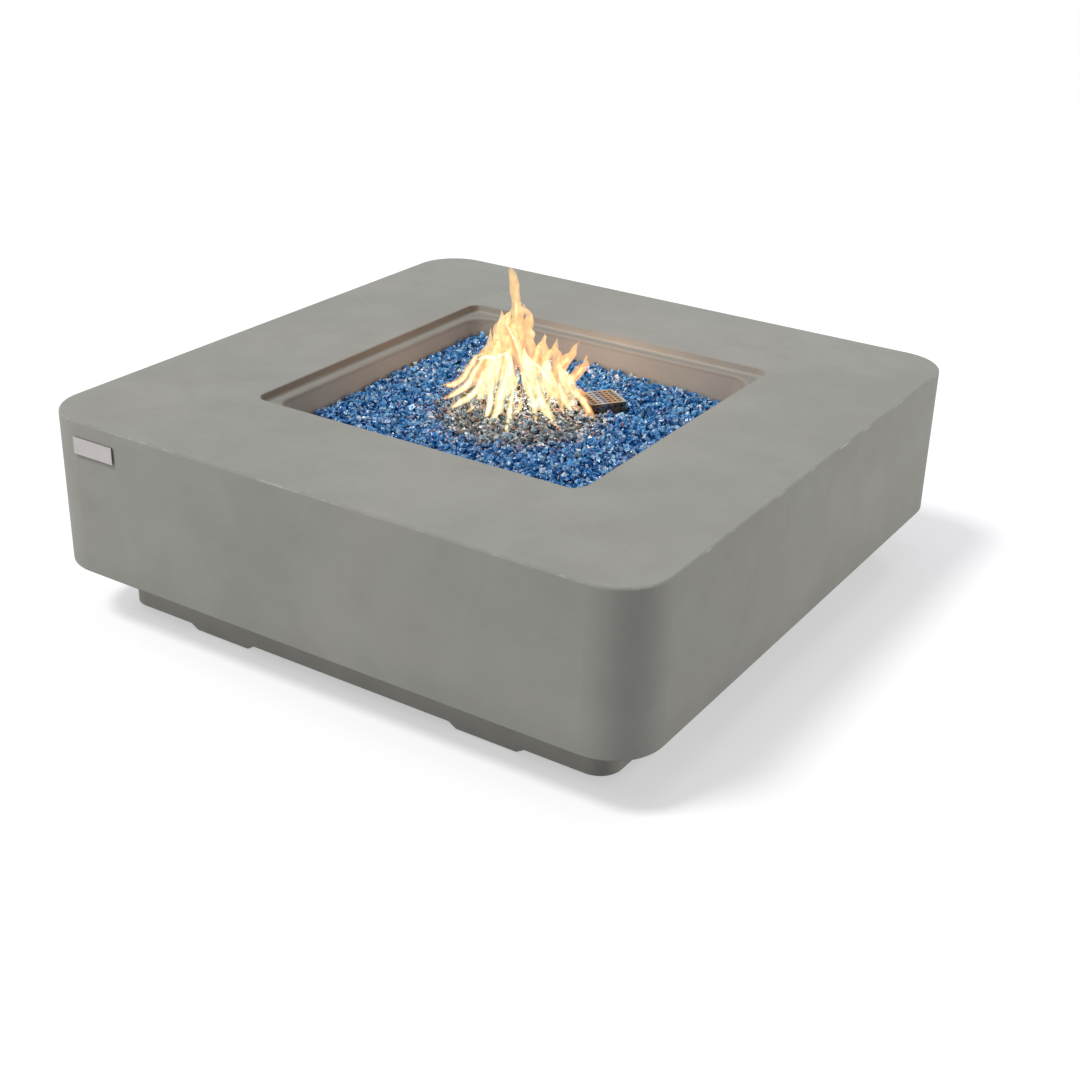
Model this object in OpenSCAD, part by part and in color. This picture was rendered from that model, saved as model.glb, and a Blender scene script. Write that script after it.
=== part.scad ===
// Square fire pit table: a cast concrete body on a recessed plinth, with a gas burner in a square well under
// a bed of fire glass, and a recessed control box in the back.
// Millimetres. The origin is on the floor under the middle of the table and +Z is up. The name plate is on
// the -Y side, the controls are on the +Y side.

/* [Table] */
// Side of the square table
table_side = 1070; // [1000:5:1300]
// Height of the top above the floor
table_height = 350; // [345:5:430]
// Radius of the four upright corners
corner_radius = 82; // [60:1:110]
// Radius of the arris round the top
top_arris = 4; // [2:0.5:8]
// Radius of the arris round the body's lower edge
lower_arris = 3; // [1:0.5:6]
// Thickness of the cast side walls
wall = 16; // [12:1:20]
// Thickness of the cast top
deck = 20; // [16:1:28]
// Thickness of the flange that turns in under the body
body_flange = 18; // [14:1:20]

/* [Plinth] */
// How far the plinth stands back from the body
plinth_inset = 80; // [60:1:95]
// Height of the plinth's top above the floor
plinth_height = 95; // [85:1:100]
// Radius of the plinth's upright corners
plinth_corner = 37; // [34:1:60]
// Thickness of the plinth's walls
plinth_wall = 28; // [24:1:32]
// Thickness of the plinth's top flange
base_flange = 18; // [14:1:22]
// How far the top flange reaches in from the walls
base_reach = 32; // [30:1:50]
// Clear height under the plinth between its feet
foot_height = 10; // [8:1:16]
// Length of a foot where it meets its pad
foot_length = 105; // [80:1:140]
// How far each end of a foot slopes out
foot_flare = 13; // [6:1:20]
// Distance from the middle of a side to the middle of each foot
foot_offset = 252; // [150:1:300]
// Thickness of the rubber pads
pad_thickness = 2; // [1:0.5:4]
// Margin from a pad to the edge of its foot
pad_margin = 4; // [2:0.5:8]
// Width of the notch for the gas hose
notch_width = 60; // [50:1:90]
// Height of the notch for the gas hose
notch_height = 48; // [42:1:60]
// Bolts along each half of a side, from the middle
bolt_offset = 200; // [100:1:260]
// Radius of the bolts that hold the plinth
bolt_radius = 4; // [3:0.5:5]

/* [Fire well] */
// Side of the square opening in the top
opening_side = 600; // [560:1:640]
// Corner radius of the opening
opening_corner = 22; // [16:1:30]
// Radius of the arris round the opening
opening_arris = 2; // [1:0.5:4]
// Depth of the ledge below the top
rim_depth = 14; // [10:0.5:18]
// Width of the ledge
ledge_width = 18; // [10:1:24]
// Radius of the ledge's inner arris
ledge_arris = 5; // [2:0.5:8]
// Radius of the cove where the ledge meets the rim
ledge_cove = 4; // [2:0.5:6]
// Corner radius of the well at the ledge
well_corner = 40; // [34:1:60]
// Depth of the well's floor below the top
well_depth = 93.5; // [91:0.5:96]
// Slope of the well's walls from upright, in degrees
well_draft = 9; // [4:0.5:12]
// Thickness of the well's walls
well_wall = 16; // [12:1:20]
// Thickness of the well's floor flange
floor_flange = 16; // [13:1:20]
// How far the floor flange reaches in
floor_reach = 45; // [40:1:60]

/* [Fire glass] */
// Depth of the bed at the front left corner
glass_front_left = 39; // [34:1:48]
// Depth of the bed at the back left corner
glass_back_left = 52; // [34:1:54]
// Depth of the bed at the back right corner
glass_back_right = 33; // [32:1:48]
// Depth of the bed at the front right corner
glass_front_right = 39; // [34:1:48]
// Rise of the bed over the burner
glass_mound = 3; // [0:0.5:8]
// Size of the chips
glass_chip = 14; // [12:1:24]
// How far chips stand out of the bed's surface
glass_rough = 5; // [2:0.1:5.5]

/* [Burner] */
// Thickness of the burner pan
pan_sheet = 1.5; // [1:0.1:2]
// Gap between the pan and the well's walls
pan_clearance = 17; // [10:1:20]
// Radius of the burner ring
ring_radius = 103; // [95:1:103]
// Radius of the ring's tube
ring_tube = 9.5; // [8.5:0.1:9.5]
// Wall of the ring's tube
ring_wall = 1.5; // [1:0.1:2]
// Gap under the ring's tube
ring_gap = 2; // [1:0.1:2]
// Number of gas ports round the ring
port_count = 24; // [12:1:36]
// Radius of a gas port
port_radius = 1.25; // [0.8:0.05:1.5]
// How far the ports lean out from upright, in degrees
port_lean = 30; // [20:5:40]
// Radius of the burner's hub
hub_radius = 24; // [22:1:28]
// Radius of the spokes between hub and ring
spoke_radius = 7; // [5:0.1:7.5]
// Radius of the stub pipe under the hub
stub_radius = 10.5; // [9:0.1:11]
// Length of the air mixer
mixer_length = 42; // [38:1:44]
// Radius of the air mixer
mixer_radius = 14; // [13.5:0.1:17]
// Radius of the hole in the gas jet
jet_hole = 0.9; // [0.5:0.05:1.2]

/* [Igniter guard] */
// Length of the guard, away from the burner
guard_length = 62; // [58:1:70]
// Width of the guard
guard_width = 60; // [56:1:64]
// Height of the guard above the pan
guard_height = 52; // [46:1:54]
// Thickness of the guard's sheet
guard_sheet = 1; // [0.8:0.1:1.5]
// Distance from the middle of the table to the middle of the guard
guard_distance = 147; // [146:1:170]
// Direction of the guard from the middle, in degrees from +X
guard_bearing = 54.5; // [48:0.5:64]
// Rows of slots in the guard's top
slot_rows = 6; // [4:1:7]
// Slots in each row
slot_columns = 6; // [3:1:6]
// Length of a slot
slot_length = 5.6; // [3.5:0.1:6.5]
// Width of a slot
slot_width = 4; // [2:0.1:5]
// Radius of the holes in the guard's sides
side_hole = 3.6; // [2:0.1:4]

/* [Controls] */
// Width of the recess in the control box
box_width = 150; // [148:1:180]
// Height of the recess in the control box
box_height = 80; // [76:1:90]
// Depth of the recess behind the table's face
box_depth = 38; // [38:1:46]
// Thickness of the control box's sheet
box_sheet = 1.5; // [1:0.1:2]
// Width of the lip round the control box
box_lip = 13; // [12:1:18]
// Distance between the knob and the igniter
control_spacing = 76; // [74:1:80]
// Radius of the knob's skirt
knob_radius = 21; // [19:0.5:22]
// Radius of the knob's grip
grip_radius = 17; // [15:0.5:18]
// Depth of the knob
knob_depth = 25.5; // [22:0.5:27]
// How far the knob pushes in
knob_travel = 3; // [2:0.1:3]
// Radius of the valve's stem
stem_radius = 4; // [3:0.1:4.5]
// Radius of the valve's body
valve_radius = 16; // [15:0.5:16]
// Radius of the valve's plug
plug_radius = 9; // [8.5:0.1:9.5]
// Radius of the igniter's threaded barrel
barrel_radius = 11; // [10.9:0.1:11.5]
// Radius of the igniter's cap
cap_radius = 13.5; // [13:0.5:14.5]
// How far the igniter's button pushes in
button_travel = 4; // [2:0.5:4]

/* [Gas line] */
// Radius of the gas pipes
pipe_radius = 5; // [4:0.1:5.2]
// Radius of the bore in the gas pipes
pipe_bore = 3.8; // [2:0.1:3.8]
// Radius of the pipes' bends
pipe_bend = 16; // [12:0.5:17]
// Radius of the flared hose fitting's thread
flare_radius = 7.94; // [7.14:0.01:9.5]
// Height of the hose fitting above the floor
inlet_height = 38; // [34:1:40]

/* [Name plate] */
// Width of the name plate
plate_width = 80; // [50:1:120]
// Height of the name plate
plate_height = 27; // [18:1:40]
// Thickness of the name plate
plate_sheet = 1.5; // [1:0.1:2.5]
// Thickness of the pad behind the name plate
plate_pad = 2; // [1:0.1:3]
// Distance from the table's left side to the name plate
plate_left = 82; // [82:1:200]
// Distance from the top down to the name plate
plate_drop = 25; // [15:1:60]

/* [Hidden] */
$fn = 64;

// Clearances and the overrun that cuts and joins share
overrun = 1;
fit_gap = 0.05;
slip_gap = 0.1;
rest_gap = 0.3;
hole_gap = 0.5;
chamfer = 1;

// Table and plinth
half = table_side / 2;
corner_centre = half - corner_radius;
plinth_half = half - plinth_inset;
base_hole_half = plinth_half - plinth_wall - base_reach;
base_hole_corner = 30;
bolt_line = base_hole_half + base_reach / 2;
base_under = plinth_height - base_flange;
insert_wall = 2;
insert_cover = 3;
insert_radius = bolt_radius + insert_wall;
insert_length = body_flange - insert_cover;
washer_radius = 2 * bolt_radius;
washer_thickness = 1.6;
bolt_head = 1.7 * bolt_radius;
bolt_head_height = 5.5;

// Fire well
opening_half = opening_side / 2;
ledge_half = opening_half - ledge_width;
ledge_z = table_height - rim_depth;
ledge_thickness = 16;
floor_z = table_height - well_depth;
function well_half(z) = ledge_half - (ledge_z - z) * tan(well_draft);
function well_round(z) = well_corner - (ledge_z - z) * tan(well_draft);
floor_half = well_half(floor_z);
floor_hole_half = floor_half - floor_reach;
floor_hole_corner = 30;

// Fire glass
chip_seeds = [11, 23, 37];
chip_shift_share = 0.3;

// Burner pan
pan_half = floor_half - pan_clearance;
pan_corner = 20;
pan_top = floor_z + pan_sheet;
pan_screw_line = (pan_half + floor_hole_half) / 2;
pan_screw_offset = pan_screw_line / 2;
small_screw = 2.5;
small_head = 4.5;
small_rise = 2.4;
small_shank = 9;
small_insert = 3.6;
drain_radius = 4;
drain_offset = 190;

// Burner
ring_z = pan_top + ring_gap + ring_tube;
ring_top = ring_z + ring_tube;
hub_cap = 2;
hub_height = ring_top + hub_cap - pan_top;
hub_chamber = hub_radius / 2;
stub_length = 24;
stub_wall = 2.5;
saddle_length = 14;
saddle_width = 16;
locknut_radius = 19.6;
locknut_height = 8;
locknut_gap = 4.5;
mixer_top = floor_z - locknut_height - locknut_gap;
mixer_bottom = mixer_top - mixer_length;
mixer_plate = 4;
air_hole = 4;
jet_thread = 5;
jet_hex = 8;
jet_hex_height = 8;
elbow_half = 11;
elbow_front = 20;
boss_radius = 8;
boss_length = 14;
socket_depth = 8;

elbow_z = mixer_bottom - jet_hex_height - elbow_half;

// The pipe to the valve crosses over the casting's flange, and the controls stand above it
pipe_straight = 6;
cross_clearance = 13;
pipe_cross_z = plinth_height + body_flange + cross_clearance + pipe_radius;
control_z = pipe_cross_z + pipe_straight + pipe_bend + boss_length + valve_radius;
knob_x = -control_spacing / 2;
igniter_x = control_spacing / 2;
box_floor_y = half - box_depth;
box_corner = 7;
box_insert_length = wall - insert_cover;
lip_line_x = (box_width + box_lip) / 2;
lip_line_z = (box_height + box_lip) / 2;

// Igniter guard and what it covers
sensor_inset = 15;
sensor_distance = guard_distance - sensor_inset;
sensor_spread = 12;
sensor_plate = 1.5;
sensor_height = 12;
sensor_length = 40;
sensor_width = 18;
insulator_radius = 3.5;
insulator_collar = 5.5;
insulator_up = 26;
insulator_down = 20;
electrode_radius = 1.2;
electrode_up = 34;
electrode_reach = 14;
couple_radius = 3;
couple_up = 34;
couple_down = 18;
guard_round = 4;
guard_tab = 12;

// Valve, measured outwards from the control box's floor
valve_back = -51;
valve_front = -13;
port_level = -42.5;
valve_passage = 2.5;
plug_back = -45;
plug_front = -31;
plug_socket = 9;
plug_port = 2;
chamber_front = -19;
thread_wall = 2;
bonnet_thread = plug_radius + thread_wall;
bonnet_radius = 13;
bonnet_plate = 5;
bonnet_half_width = 15;
collar_thickness = 2;
collar_radius = plug_radius - collar_thickness / 2;
stem_back = -36;
stem_front = 21;
flat_start = 6;
flat_share = 0.6;
magnet_radius = 8;
magnet_length = 13;
bezel_margin = 5;
bezel_radius = min(box_width - control_spacing, box_height) / 2 - bezel_margin;
bezel_sheet = 1;
screw_margin = 5;
bonnet_screw = bezel_radius - screw_margin;
bonnet_end = 6;
bonnet_half_length = bonnet_screw + bonnet_end;
valve_screw = 2;
valve_screw_head = 3.6;
valve_screw_rise = 2.2;
stem_room = 2;
stem_hole = stem_radius + stem_room;
knob_back = knob_travel + bezel_sheet + hole_gap;
knob_skirt = 4;
flute_count = 18;
flute_radius = 1.6;
pointer_width = 3;
stem_wire = 0.5;
stem_turns = 5;

// Igniter, measured outwards from the control box's floor
barrel_back = -61;
barrel_front = 12;
barrel_bore = 7.6;
barrel_plate = 5;
shoulder_radius = 14;
shoulder_thickness = 3;
terminal_radius = 3;
terminal_length = 4;
battery_radius = 7.25;
battery_back = -55.8;
battery_front = -5.5;
battery_nub = 1;
battery_nub_radius = 2.7;
nut_radius = 16;
nut_height = 3.5;
cap_back = 5;
cap_front = 21;
cap_plate = 2;
cap_lip = 1;
sleeve_wall = 1;
sleeve_outer = barrel_bore - rest_gap;
sleeve_inner = sleeve_outer - sleeve_wall;
lip_hole = 3;
button_radius = 5;
button_flange = sleeve_inner - rest_gap;
button_flange_thickness = 1.5;
button_stem = 2.4;
button_stem_back = 3;
button_front = cap_front + button_travel + chamfer;
contact_wire = 0.4;
contact_turns = 5;
return_wire = 0.4;
return_turns = 6;
spring_sides = 6;
rings_per_turn = 8;

// Gas line
pipe_reach = 24;
pipe_clearance = 50;
bracket_clearance = 10;
pipe_side_x = knob_x - valve_radius - boss_length - pipe_bend - pipe_straight;
pipe_cross_y = elbow_front + pipe_bend + pipe_reach;
pipe_rise_y = base_hole_half - pipe_clearance;
bracket_y = base_hole_half - bracket_clearance;
bracket_sheet = 2.5;
bracket_half = 20;
bracket_drop = 14;
bracket_screw_offset = 14;
bracket_screw_length = 14;
inlet_hex = 12.7;
inlet_hex_length = 8;
flare_length = 13;
flare_nose = 3;
inlet_thread = 8;
inlet_tail = 17;
inlet_nut_height = 8;

// Leads
lead_radius = 1.75;
capillary_radius = 1.25;
lead_sides = 8;
lead_steps = 5;
lead_drop = 18;
lead_back = 26;
lead_shares = [0.12, 0.36, 0.62, 0.86];
lead_low = 5;
capillary_high = 25;

function lerp(a, b, share) = a + (b - a) * share;
function unit(v) = v / norm(v);
function polar(radius, angle) = [radius * cos(angle), radius * sin(angle)];

// A square in plan with round corners, centred
module rounded(half_width, half_depth, radius) {
    square([2 * half_width, 2 * (half_depth - radius)], center = true);
    square([2 * (half_width - radius), 2 * half_depth], center = true);
    for (sx = [-1, 1], sy = [-1, 1])
        translate([sx * (half_width - radius), sy * (half_depth - radius)]) circle(radius);
}

module rounded_ring(outer, outer_round, inner, inner_round) {
    difference() {
        rounded(outer, outer, outer_round);
        rounded(inner, inner, inner_round);
    }
}

// Sweeps an outline round the table. The outline's x is the distance from the middle of the table, its y is
// the height, and centre is how far out the corners' centres lie.
module sweep_round(centre) {
    for (side = [0:3]) rotate([0, 0, 90 * side]) {
        translate([centre, centre, 0]) rotate_extrude(angle = 90) translate([-centre, 0]) children();
        translate([0, centre, 0]) rotate([90, 0, 0]) linear_extrude(2 * centre) children();
    }
}

module at_four_sides() {
    for (side = [0:3]) rotate([0, 0, 90 * side]) children();
}

// Two places on each side of the table, away from its middle
module at_eight(line, offset_along) {
    at_four_sides() for (s = [-1, 1]) translate([line, s * offset_along, 0]) children();
}

module tube(outer, inner, length) {
    linear_extrude(length) difference() {
        circle(outer);
        circle(inner);
    }
}

module hexagon(radius, height) {
    cylinder(r = radius, h = height, $fn = 6);
}

// A screw with its head's underside at zero and its shank pointing down
module socket_screw(radius, shank, head, rise) {
    difference() {
        union() {
            translate([0, 0, -shank]) cylinder(r = radius, h = shank);
            cylinder(r1 = head, r2 = head - chamfer, h = rise);
        }
        translate([0, 0, rise / 2]) hexagon(radius, rise);
    }
}

// Puts a piece on the control box: z runs out of the table from the recess's floor
module on_box(x) {
    translate([x, box_floor_y, control_z]) rotate([-90, 0, 0]) children();
}

// Puts a piece on the guard's middle line: x runs away from the burner
module at_guard(distance, across = 0) {
    rotate([0, 0, guard_bearing]) translate([distance, across, 0]) children();
}

// A pipe along straight runs with square bends
module pipe_run(points, outer, inner, bend) {
    last = len(points) - 1;
    for (i = [0:last - 1]) {
        along = unit(points[i + 1] - points[i]);
        start = points[i] + along * (i > 0 ? bend : 0);
        length = norm(points[i + 1] - points[i]) - (i > 0 ? bend : 0) - (i < last - 1 ? bend : 0);
        translate(start) rotate([0, acos(along.z), atan2(along.y, along.x)]) tube(outer, inner, length);
    }
    for (i = [1:last - 1]) {
        u = unit(points[i] - points[i - 1]);
        v = unit(points[i + 1] - points[i]);
        n = cross(u, v);
        c = points[i] + (v - u) * bend;
        multmatrix([[-v.x, u.x, n.x, c.x], [-v.y, u.y, n.y, c.y], [-v.z, u.z, n.z, c.z], [0, 0, 0, 1]])
            rotate_extrude(angle = 90) translate([bend, 0]) difference() {
                circle(outer);
                circle(inner);
            }
    }
}

// A smooth curve through points
function smooth_at(a, b, c, d, t) =
    0.5 * (2 * b + (c - a) * t + (2 * a - 5 * b + 4 * c - d) * t * t + (3 * b - a - 3 * c + d) * t * t * t);
function smooth(points, steps) =
    let (last = len(points) - 1)
    [for (i = [0:last - 1], k = [0:steps - 1])
        smooth_at(points[max(i - 1, 0)], points[i], points[i + 1], points[min(i + 2, last)], k / steps),
        points[last]];

// The direction of a path at each point, and a normal carried along it without twist
function directions(path) =
    let (last = len(path) - 1)
    [for (i = [0:last]) unit(path[min(i + 1, last)] - path[max(i - 1, 0)])];
function across(normal, along) = unit(normal - along * (normal * along));
function normals(ways, first) =
    [for (i = 0, n = across(first, ways[0]); i < len(ways); i = i + 1,
        n = i < len(ways) ? across(n, ways[i]) : n) n];

// A round tube along a path, with flat ends
module path_tube(path, radius, sides, first) {
    ways = directions(path);
    up = normals(ways, first);
    rings = len(path);
    points = [for (i = [0:rings - 1], k = [0:sides - 1])
        let (turn = 360 * k / sides)
        path[i] + radius * (cos(turn) * up[i] + sin(turn) * cross(ways[i], up[i]))];
    walls = [for (i = [0:rings - 2], k = [0:sides - 1])
        let (a = i * sides + k, b = i * sides + (k + 1) % sides)
        each [[a, a + sides, b], [b, a + sides, b + sides]]];
    near_end = [for (k = [0:sides - 1]) k];
    far_end = [for (k = [sides - 1:-1:0]) (rings - 1) * sides + k];
    polyhedron(points, concat([near_end], walls, [far_end]), convexity = 6);
}

// A coil spring on the z axis from one level to another
function coil(radius, wire, low, high, turns) =
    [for (i = [0:turns * rings_per_turn])
        let (share = i / (turns * rings_per_turn))
        [radius * cos(360 * turns * share), radius * sin(360 * turns * share),
            lerp(low + wire, high - wire, share)]];
// The least gap from one turn of a coil to the next
function turn_gap(path, wire) =
    min([for (i = [0:len(path) - 1 - rings_per_turn], k = [i + rings_per_turn / 2:len(path) - 1])
        norm(path[k] - path[i])]) - 2 * wire;
module spring(radius, wire, low, high, turns) {
    path = coil(radius, wire, low, high, turns);
    echo(spring_least_gap = turn_gap(path, wire));
    path_tube(path, wire, spring_sides, [0, 0, 1]);
}

// The side wall of the body, seen along a side
module wall_outline() {
    inner = half - wall;
    translate([inner, plinth_height]) square([wall - lower_arris, table_height - plinth_height - top_arris]);
    translate([inner, table_height - deck]) square([wall - top_arris, deck]);
    translate([inner, plinth_height + lower_arris])
        square([wall, table_height - plinth_height - lower_arris - top_arris]);
    translate([half - top_arris, table_height - top_arris]) circle(top_arris);
    translate([half - lower_arris, plinth_height + lower_arris]) circle(lower_arris);
}

// The upright rim round the opening, with its arris at the top and its cove over the ledge
module rim_outline() {
    low = ledge_z - ledge_thickness;
    difference() {
        translate([opening_half - ledge_cove, low])
            square([well_wall + ledge_cove, table_height - opening_arris - low]);
        translate([opening_half - ledge_cove, ledge_z + ledge_cove]) circle(ledge_cove);
        translate([opening_half - ledge_cove, ledge_z + ledge_cove]) mirror([1, 0]) square(ledge_cove);
        translate([opening_half - ledge_cove - overrun, ledge_z + ledge_cove])
            square([ledge_cove + overrun, table_height]);
    }
    translate([opening_half + opening_arris, ledge_z]) square([well_wall - opening_arris, rim_depth]);
    translate([opening_half + opening_arris, table_height - opening_arris]) circle(opening_arris);
}

// The sloping wall of the well, with the ledge's round arris
module well_outline() {
    back = ledge_arris * (1 - sin(well_draft)) / cos(well_draft);
    low = floor_z - floor_flange;
    centre = [ledge_half + back, ledge_z - ledge_arris];
    polygon([
        [ledge_half + back, ledge_z],
        [ledge_half + well_wall, ledge_z],
        [well_half(low) + well_wall, low],
        [well_half(low), low],
        centre - ledge_arris * [cos(well_draft), -sin(well_draft)],
        centre
    ]);
    translate(centre) circle(ledge_arris);
}

// A flat ring of the casting between two outlines that lie inside its walls
module flat_ring(low, thickness, outer, outer_round, inner, inner_round) {
    translate([0, 0, low]) linear_extrude(thickness) rounded_ring(outer, outer_round, inner, inner_round);
}

module box_cutout() {
    on_box(0) translate([0, 0, -wall]) linear_extrude(box_depth + 2 * wall)
        rounded(box_width / 2 + box_sheet, box_height / 2 + box_sheet, box_corner + box_sheet);
}

module at_box_screws() {
    for (sx = [-1, 1], sz = [-1, 1]) on_box(sx * lip_line_x) translate([0, sz * lip_line_z, 0]) children();
}

module concrete_body() {
    in_wall = half - wall / 2;
    in_wall_round = corner_radius - wall / 2;
    in_rim = opening_half + well_wall / 2;
    in_rim_round = opening_corner + well_wall / 2;
    in_well = ledge_half + well_wall / 2;
    in_well_round = well_corner + well_wall / 2;
    in_floor = floor_half + well_wall / 2;
    in_floor_round = well_round(floor_z) + well_wall / 2;
    color([0.62, 0.62, 0.60]) difference() {
        union() {
            sweep_round(corner_centre) wall_outline();
            flat_ring(table_height - deck, deck, in_wall, in_wall_round, in_rim, in_rim_round);
            flat_ring(plinth_height, body_flange, in_wall, in_wall_round, base_hole_half, base_hole_corner);
            sweep_round(opening_half - opening_corner) rim_outline();
            flat_ring(ledge_z - ledge_thickness, ledge_thickness, in_rim, in_rim_round,
                in_well, in_well_round);
            sweep_round(ledge_half - well_corner) well_outline();
            flat_ring(floor_z - floor_flange, floor_flange, in_floor, in_floor_round,
                floor_hole_half, floor_hole_corner);
        }
        at_eight(bolt_line, bolt_offset) translate([0, 0, plinth_height - overrun])
            cylinder(r = insert_radius + fit_gap, h = insert_length + overrun);
        at_eight(pan_screw_line, pan_screw_offset) translate([0, 0, floor_z - small_shank])
            cylinder(r = small_insert + fit_gap, h = small_shank + overrun);
        box_cutout();
        at_box_screws() translate([0, 0, box_depth - box_insert_length])
            cylinder(r = small_insert + fit_gap, h = box_insert_length + overrun);
    }
}

// The upright wall of the plinth, seen along a side
module plinth_outline() {
    translate([plinth_half - plinth_wall, foot_height])
        square([plinth_wall, plinth_height - foot_height]);
}

// A foot's face, in the plane of the plinth's side
module foot_outline() {
    flat = foot_length / 2;
    wide = flat + foot_flare;
    polygon([
        [-flat, pad_thickness],
        [flat, pad_thickness],
        [wide, foot_height],
        [wide, foot_height + chamfer],
        [-wide, foot_height + chamfer],
        [-wide, foot_height]
    ]);
}

module at_inlet_screws() {
    for (s = [-1, 1]) translate([knob_x + s * bracket_screw_offset, bolt_line, base_under]) children();
}

module base_casting() {
    color([0.55, 0.55, 0.53]) difference() {
        union() {
            sweep_round(plinth_half - plinth_corner) plinth_outline();
            flat_ring(base_under, base_flange, plinth_half - plinth_wall / 2,
                plinth_corner - plinth_wall / 2, base_hole_half, base_hole_corner);
            at_eight(plinth_half, foot_offset) rotate([90, 0, -90])
                linear_extrude(plinth_wall) foot_outline();
        }
        at_eight(bolt_line, bolt_offset) translate([0, 0, base_under - overrun])
            cylinder(r = bolt_radius + hole_gap, h = base_flange + 2 * overrun);
        translate([knob_x - notch_width / 2, plinth_half - plinth_wall - overrun, foot_height - overrun])
            cube([notch_width, plinth_wall + 2 * overrun, notch_height + overrun]);
        at_inlet_screws() translate([0, 0, -overrun])
            cylinder(r = small_screw + fit_gap, h = bracket_screw_length + overrun);
    }
}

module foot_pads() {
    length = foot_length - 2 * pad_margin;
    width = plinth_wall - 2 * pad_margin;
    color([0.12, 0.12, 0.12]) at_eight(plinth_half - plinth_wall / 2, foot_offset)
        linear_extrude(pad_thickness) rounded(width / 2, length / 2, pad_margin);
}

module body_inserts() {
    color([0.78, 0.63, 0.32]) at_eight(bolt_line, bolt_offset) translate([0, 0, plinth_height])
        tube(insert_radius, bolt_radius + fit_gap, insert_length);
}

module base_washers() {
    color([0.75, 0.76, 0.78]) at_eight(bolt_line, bolt_offset)
        translate([0, 0, base_under - washer_thickness])
            tube(washer_radius, bolt_radius + hole_gap / 2, washer_thickness);
}

module base_bolts() {
    shank = washer_thickness + base_flange + insert_length - chamfer;
    color([0.70, 0.71, 0.73]) at_eight(bolt_line, bolt_offset)
        translate([0, 0, base_under - washer_thickness]) {
            cylinder(r = bolt_radius, h = shank);
            translate([0, 0, -bolt_head_height]) hexagon(bolt_head, bolt_head_height);
        }
}

// The middle of the name plate on the front face, with z running out of the table
module on_plate() {
    translate([plate_left + plate_width / 2 - half, -half, table_height - plate_drop - plate_height / 2])
        rotate([90, 0, 0]) children();
}

module name_plate_pad() {
    color([0.15, 0.14, 0.14]) on_plate() linear_extrude(plate_pad)
        rounded(plate_width / 2 - chamfer / 2, plate_height / 2 - chamfer / 2, chamfer);
}

module name_plate() {
    color([0.83, 0.81, 0.80]) on_plate() translate([0, 0, plate_pad]) linear_extrude(plate_sheet)
        rounded(plate_width / 2, plate_height / 2, chamfer);
}

module at_pan_screws() {
    at_eight(pan_screw_line, pan_screw_offset) children();
}

module pan_inserts() {
    color([0.78, 0.63, 0.32]) at_pan_screws() translate([0, 0, floor_z - small_shank])
        tube(small_insert, small_screw + fit_gap, small_shank);
}

module at_guard_screws() {
    for (s = [-1, 1]) at_guard(guard_distance, s * (guard_width / 2 + guard_tab / 2)) children();
}

module at_sensors() {
    at_guard(sensor_distance, sensor_spread) children(0);
    at_guard(sensor_distance, -sensor_spread) children(1);
}

module burner_pan() {
    color([0.72, 0.73, 0.75]) translate([0, 0, floor_z]) linear_extrude(pan_sheet) difference() {
        rounded(pan_half, pan_half, pan_corner);
        circle(stub_radius + hole_gap);
        at_pan_screws() circle(small_screw + hole_gap / 2);
        for (sx = [-1, 1], sy = [-1, 1])
            translate([sx * drain_offset, sy * drain_offset]) circle(drain_radius);
        at_sensors() {
            circle(insulator_radius + hole_gap);
            circle(couple_radius + hole_gap);
        }
        at_guard_screws() circle(valve_screw + fit_gap);
    }
}

module pan_screws() {
    color([0.70, 0.71, 0.73]) at_pan_screws() translate([0, 0, pan_top])
        socket_screw(small_screw, small_shank, small_head, small_rise);
}

module at_spokes() {
    for (i = [0:3]) rotate([0, 0, guard_bearing + 45 + 90 * i]) children();
}

module spokes(radius, start) {
    at_spokes() translate([start, 0, ring_z]) rotate([0, 90, 0])
        cylinder(r = radius, h = ring_radius - start);
}

module burner_ring() {
    inner_tube = ring_tube - ring_wall;
    inner_spoke = spoke_radius - ring_wall;
    inner_stub = stub_radius - stub_wall;
    color([0.66, 0.65, 0.64]) difference() {
        union() {
            rotate_extrude() translate([ring_radius, ring_z]) circle(ring_tube);
            spokes(spoke_radius, hub_chamber);
            translate([0, 0, pan_top]) cylinder(r = hub_radius, h = hub_height);
            translate([0, 0, floor_z - stub_length])
                cylinder(r = stub_radius, h = stub_length + hub_height / 2);
        }
        rotate_extrude() translate([ring_radius, ring_z]) circle(inner_tube);
        spokes(inner_spoke, inner_stub);
        translate([0, 0, ring_z - inner_spoke - overrun])
            cylinder(r = hub_chamber, h = 2 * (inner_spoke + overrun));
        translate([0, 0, floor_z - stub_length - overrun])
            cylinder(r = inner_stub, h = ring_z - floor_z + stub_length + overrun);
        for (i = [0:port_count - 1]) rotate([0, 0, 360 * (i + 0.5) / port_count])
            translate([ring_radius, 0, ring_z]) rotate([0, port_lean, 0])
                cylinder(r = port_radius, h = ring_tube + overrun);
    }
}

module burner_saddles() {
    color([0.60, 0.60, 0.60]) for (i = [0:3]) rotate([0, 0, guard_bearing + 45 + 90 * (i + 0.25)])
        translate([ring_radius, saddle_length / 2, pan_top]) rotate([90, 0, 0])
            linear_extrude(saddle_length) difference() {
                translate([-saddle_width / 2, 0]) square([saddle_width, ring_gap + ring_tube / 2]);
                translate([0, ring_z - pan_top]) circle(ring_tube + slip_gap);
            }
}

module hub_locknut() {
    color([0.75, 0.76, 0.78]) translate([0, 0, floor_z - locknut_height]) difference() {
        hexagon(locknut_radius, locknut_height);
        translate([0, 0, -overrun]) cylinder(r = stub_radius + fit_gap, h = locknut_height + 2 * overrun);
    }
}

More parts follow.
